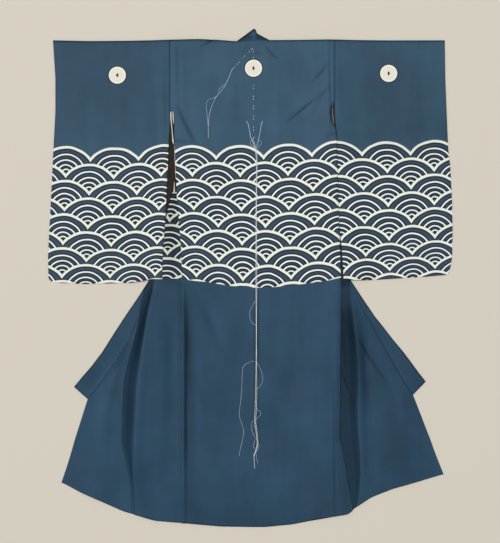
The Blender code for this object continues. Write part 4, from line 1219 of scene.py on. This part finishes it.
# The ivory edging in the open slits: narrow tapes of undyed silk, folded along the edges that the
# slits leave free. They show as pale slivers beside the left slit and at the top of the right one.
TAPE = 0.5
TAPE_RISE = 0.25
TAPE_IVORY = "dad8ca"
TAPES = {  # left x, right x and down, by station, and a height
    "left_slit_tape_outer": (
        ((-171, -168.9, 146), (-171.4, -168.7, 151), (-170.8, -168.5, 163), (-169.4, -167.3, 177),
         (-167.8, -166, 193), (-167.6, -165, 201), (-167.4, -164.4, 206), (-165.4, -163.8, 213)),
        6.6,
    ),
    "left_slit_tape_inner": (
        ((-166.9, -165.2, 147), (-166.6, -164.6, 154), (-166, -164.2, 163), (-165.2, -164, 171)), 6.7,
    ),
    "left_slit_tape_edge": (
        ((-163.6, -162.7, 216), (-162.6, -162.0, 228), (-162.5, -161.5, 240), (-161.6, -161.0, 256),
         (-161.4, -160.3, 270), (-160.3, -159.8, 284)), 6.7,
    ),
    "left_slit_tape_low": (
        ((-163.4, -162.7, 290), (-164, -162.4, 297), (-164.6, -161.9, 305), (-164.8, -161.6, 312)), 6.9,
    ),
    "right_slit_tape": (
        ((160.5, 160.8, 139), (160.5, 161.1, 147), (160.9, 161.7, 155), (162.0, 162.6, 163),
         (163.4, 163.7, 171)), 5.4,
    ),
}
tape_silk, *_ = uneven_silk("undyed_ivory_silk", TAPE_IVORY, patch=9.0, spread=0.12)
for name, (stations, height) in TAPES.items():
    left_x, right_x, at = (np.array(column, float)[:, None] for column in zip(*stations))
    share = np.linspace(0, 1, 4)
    x = left_x + (right_x - left_x) * share
    z = height + TAPE_RISE * np.sin(np.pi * share)
    tape = shell(name, place(x, at, z), [tape_silk, tape_silk], thickness=TAPE)
    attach(tape, "root")

# The loose ends of the protective back stitches: twisted silk threads that hang from the row of
# stitches at the centre back and lie on the cloth. The long one is two strands side by side, with
# loops of finer ends beside it and a small tangle round its foot.
STRAND = 0.95
THREAD = 0.5
UPPER_THREAD = 0.7
V_THREAD = 0.95
LOOP_LIFT = 0.5
LONG_ROUTE = (  # x, down
    (-3.3, 204), (-1, 209), (1.6, 217.7), (3.5, 227.6), (5.3, 240.5), (4.9, 280), (4.6, 327),
    (4.9, 430), (4.6, 532), (4.8, 634), (4.5, 716.5), (3.9, 744), (3.3, 761), (2.3, 779),
    (3.3, 788), (5.5, 804.6), (7.2, 822), (6.2, 833), (2.9, 843.6), (0, 853), (1, 880),
)
SIDE_ROUTE = (
    (0.5, 657), (-5, 658), (-12.3, 661), (-19.5, 665.5), (-22.8, 672), (-24.2, 684), (-24.6, 700),
    (-26.4, 731.6), (-29, 752), (-30.1, 767.7), (-28, 777), (-25, 785.4), (-21.3, 801.6),
    (-24, 819.8), (-27.3, 834.4), (-30.5, 851),
)
SHORT_ROUTE = (
    (-39.4, 54.9), (-41.6, 57), (-44.5, 59.5), (-47, 65), (-50.8, 75.2), (-56, 86), (-61.3, 96.4),
    (-69.5, 107), (-77.9, 117.3), (-84, 129), (-88.4, 141.5), (-91.3, 153), (-92.9, 165.4),
    (-93.6, 182), (-93.5, 200),
)
LEFT_END_ROUTE = (
    (-3.4, 206), (-6.2, 200), (-7.2, 196), (-8.8, 187), (-10.8, 177), (-12.7, 170), (-15.8, 165),
)
RIGHT_END_ROUTE = (
    (4.4, 222), (6.6, 214), (8.2, 208), (10, 200), (11.2, 194), (12.7, 188), (14, 178),
    (15.4, 172), (17, 165.5),
)
LOOP_ROUTES = {
    "thread_loop_by_left_end": (
        (-3.3, 204.5), (-7.6, 209), (-6.4, 213.8), (-2.3, 217.7), (1.6, 222.8), (3.2, 232), (4.2, 241),
    ),
    "thread_loop_by_right_end": (
        (9.4, 205.2), (13.3, 206.6), (15.4, 209.7), (12.7, 215), (10, 217.7), (6.8, 224.9),
        (13.3, 229.4), (19.3, 234.7), (17.8, 240),
    ),
    "thread_loop_upper": ((2.1, 534), (-4, 546), (-8.6, 556), (-7.4, 573), (-1.5, 580), (3.7, 584)),
    "thread_loop_middle": ((6.2, 660), (12, 671), (16, 682), (17.8, 696.4), (13, 707), (6.8, 715)),
    "thread_loop_lower": (
        (3.1, 737), (6.2, 755.4), (12.6, 761), (13.9, 766), (9.5, 771.5), (4.9, 776.5), (0, 794.4),
    ),
    "thread_tangle": (
        (-0.8, 779), (-3.6, 781.5), (-4.8, 786), (-4.3, 797), (-0.8, 808.5), (4.4, 816.5), (8, 823),
        (10, 831), (8.6, 838), (4.6, 843), (0.6, 850),
    ),
    "thread_foot": ((1.6, 818), (-1.2, 833), (3.4, 838), (4.5, 849), (7.4, 866)),
    "thread_loop_above": (
        (-54, 83), (-58.5, 90), (-64.5, 94.5), (-70, 99), (-72.6, 104), (-73.6, 109.5), (-77, 116),
    ),
    "thread_branch_above": (
        (-73, 111.5), (-80, 117), (-94.3, 122.8), (-97.4, 136), (-96, 152), (-94.6, 168.5), (-93.4, 178),
    ),
}

# Twisted pale silk: grey-white in the doubled strands and stitches, and cool blue-white where one
# fine end lies on the dark cloth. Both have a slight gleam.
THREAD_WHITE = "f4f8f8"
FINE_WHITE = "cbe0f2"
TWIST = 5.0  # from turn to turn, longer than on real thread so that it shows
TWIST_LEVEL = 0.6
thread_silk, tree, shader, here, colour = uneven_silk(
    "pale_twisted_silk_thread", THREAD_WHITE, patch=7.0, spread=0.1, roughness=0.5, sheen=0.2
)
fine_silk, *_ = uneven_silk(
    "fine_blue_white_silk_thread", FINE_WHITE, patch=12.0, spread=0.15, roughness=0.5, sheen=0.2
)
# The thread is painted darker between its turns: painted shade in the grooves of the twist
turns = add(
    tree, "TexWave", {"Vector": here, "Scale": 2 * math.pi * 100 / TWIST, "Distortion": 1.5},
    bands_direction="DIAGONAL",
)
turn_level = add(tree, "MapRange", {0: turns, 2: 0.6, 3: TWIST_LEVEL})
colour = add(tree, "VectorMath", {0: colour, 3: turn_level}, operation="SCALE")
tree.links.new(colour, shader.inputs["Base Color"])


def smooth_route(route, spacing):
    """Places evenly spaced along a smooth curve through a route's points."""
    route = np.array(route, float)
    control = np.concatenate([[2 * route[0] - route[1]], route, [2 * route[-1] - route[-2]]])
    fine = [route[:1]]
    t = (np.arange(1, 25) / 24)[:, None]
    for a, b, c, d in zip(control, control[1:], control[2:], control[3:]):
        bend = 2 * a - 5 * b + 4 * c - d + t * (3 * b - a - 3 * c + d)
        fine.append(b + 0.5 * t * (c - a + t * bend))
    fine = np.concatenate(fine)
    lengths = np.concatenate([[0], np.cumsum(np.hypot(*np.diff(fine, axis=0).T))])
    stops_at = np.linspace(0, lengths[-1], max(2, round(lengths[-1] / spacing) + 1))
    return np.stack([np.interp(stops_at, lengths, column) for column in fine.T], -1)


def lay(route, radius, spacing=2.0, lift=0.0):
    """A route's places on top of the back, in metres."""
    flat = smooth_route(route, spacing)
    z = back_top(flat[:, :1], flat[:, 1:])[:, 0] + radius + lift
    return place(flat[:, 0], flat[:, 1], z)


def thread(name, route, node=None, diameter=THREAD, lift=0.0):
    """One loose thread, as a curve."""
    points = lay(route, diameter / 2, lift=lift)
    curve = bpy.data.curves.new(name, "CURVE")
    curve.dimensions = "3D"
    curve.bevel_depth = diameter / 2 * MM
    curve.bevel_resolution = 2
    curve.use_fill_caps = True
    spline = curve.splines.new("POLY")
    spline.points.add(len(points) - 1)
    for point, at in zip(spline.points, points):
        point.co = (*at, 1.0)
    curve.materials.append(fine_silk)
    item = link(bpy.data.objects.new(name, curve))
    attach(item, "root")
    if node:
        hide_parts(node)


def tubes(name, paths, radius, finish, sides=6):
    """One mesh of several tubes, each along its own path."""
    verts, faces = [], []
    for path in paths:
        start = len(verts)
        ahead = np.gradient(path, axis=0)
        ahead /= np.linalg.norm(ahead, axis=1, keepdims=True)
        side = np.cross(ahead, (0, 0, 1.0))
        side /= np.linalg.norm(side, axis=1, keepdims=True)
        upward = np.cross(side, ahead)
        for at, a, b in zip(path, side, upward):
            for corner in range(sides):
                angle = 2 * math.pi * corner / sides
                verts.append(at + radius * MM * (a * math.cos(angle) + b * math.sin(angle)))
        for ring in range(len(path) - 1):
            for corner in range(sides):
                first = start + ring * sides + corner
                second = start + ring * sides + (corner + 1) % sides
                faces.append((first, second, second + sides, first + sides))
        faces.append(tuple(range(start + sides - 1, start - 1, -1)))
        last = start + (len(path) - 1) * sides
        faces.append(tuple(range(last, last + sides)))
    mesh = bpy.data.meshes.new(name)
    mesh.from_pydata([tuple(v) for v in verts], [], faces)
    mesh.materials.append(finish)
    mesh.shade_smooth()
    return link(bpy.data.objects.new(name, mesh))


SHORTER = 26.0  # how much the left strand ends before the right one
BUNDLE_LIFT = 0.5
STRANDS = ((-1, 310, 0.4, 0.45), (1, 235, 0.35, -0.45))  # side, length of a turn, wander, rise
STRANDS_APART = (  # run, how far each strand is from the middle
    (0, 1.3), (20, 0.68), (480, 0.68), (520, 1.0), (600, 1.0), (640, 0.7),
)
RISE_TURNS = 1.3  # turns up and down for each turn from side to side
centre = lay(LONG_ROUTE, STRAND / 2 + BUNDLE_LIFT, spacing=3.0)
run = np.concatenate([[0], np.cumsum(np.linalg.norm(np.diff(centre, axis=0), axis=1))]) / MM
strands = []
for side, turn_length, wander, rise in STRANDS:
    angle = 2 * math.pi * run / turn_length
    strand = centre.copy()
    strand[:, 0] += (side * between(STRANDS_APART, run) + wander * np.sin(angle)) * MM
    strand[:, 2] += rise * np.cos(angle * RISE_TURNS) * MM
    strands.append(strand[run < run[-1] - SHORTER * (side < 0)])
bundle = tubes("thread_bundle", strands, STRAND / 2, thread_silk)
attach(bundle, "root")
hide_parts("thread_long")
thread("thread_beside", SIDE_ROUTE, "thread_side")
thread("thread_above", SHORT_ROUTE, "thread_short", UPPER_THREAD)
thread("thread_v_left", LEFT_END_ROUTE, "thread_end_left", V_THREAD)
thread("thread_v_right", RIGHT_END_ROUTE, "thread_end_right", V_THREAD)
for name, route in LOOP_ROUTES.items():
    thread(name, route, lift=LOOP_LIFT)

# The protective stitches: short pale stitches of doubled silk down the middle of the back, and a
# slanting row that leads to the upper loose thread. Each is a small raised arch on the cloth.
STITCH = 1.0
STITCH_RISE = 0.45
STITCHES = (  # start x and down, end x and down
    (-1, 21.9, -1, 24.3), (-1, 33.6, -1, 36), (-1, 90.7, -1, 93.1),
    (-1, 97.2, -1, 99.8), (-1, 113.8, -1, 116.2), (-1, 119.2, -1, 121.6), (-1, 133.3, -1, 135.8),
    (-1, 138.6, -1, 141), (-1, 153.8, -1, 156.3), (-1, 160.4, -1, 163), (-1, 176.5, -1, 179),
    (-1, 182.7, -1, 185.2), (0.6, 197.4, -3.3, 204), (-2.4, 16.3, -5.4, 20), (-8.6, 22.1, -10, 23.7),
    (-18.6, 31.8, -20, 33.4), (-22.4, 35.6, -23.8, 37), (-29.4, 44.2, -31.2, 46), (-34, 48.2, -36, 50.2),
)
paths = []
for x0, down0, x1, down1 in STITCHES:
    share = np.linspace(0, 1, 5)
    across, along = x0 + (x1 - x0) * share, down0 + (down1 - down0) * share
    lifted = back_top(across[:, None], along[:, None])[:, 0] + STITCH_RISE * np.sin(np.pi * share)
    paths.append(place(across, along, lifted))
stitches = tubes("back_stitches", paths, STITCH / 2, thread_silk)
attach(stitches, "root")
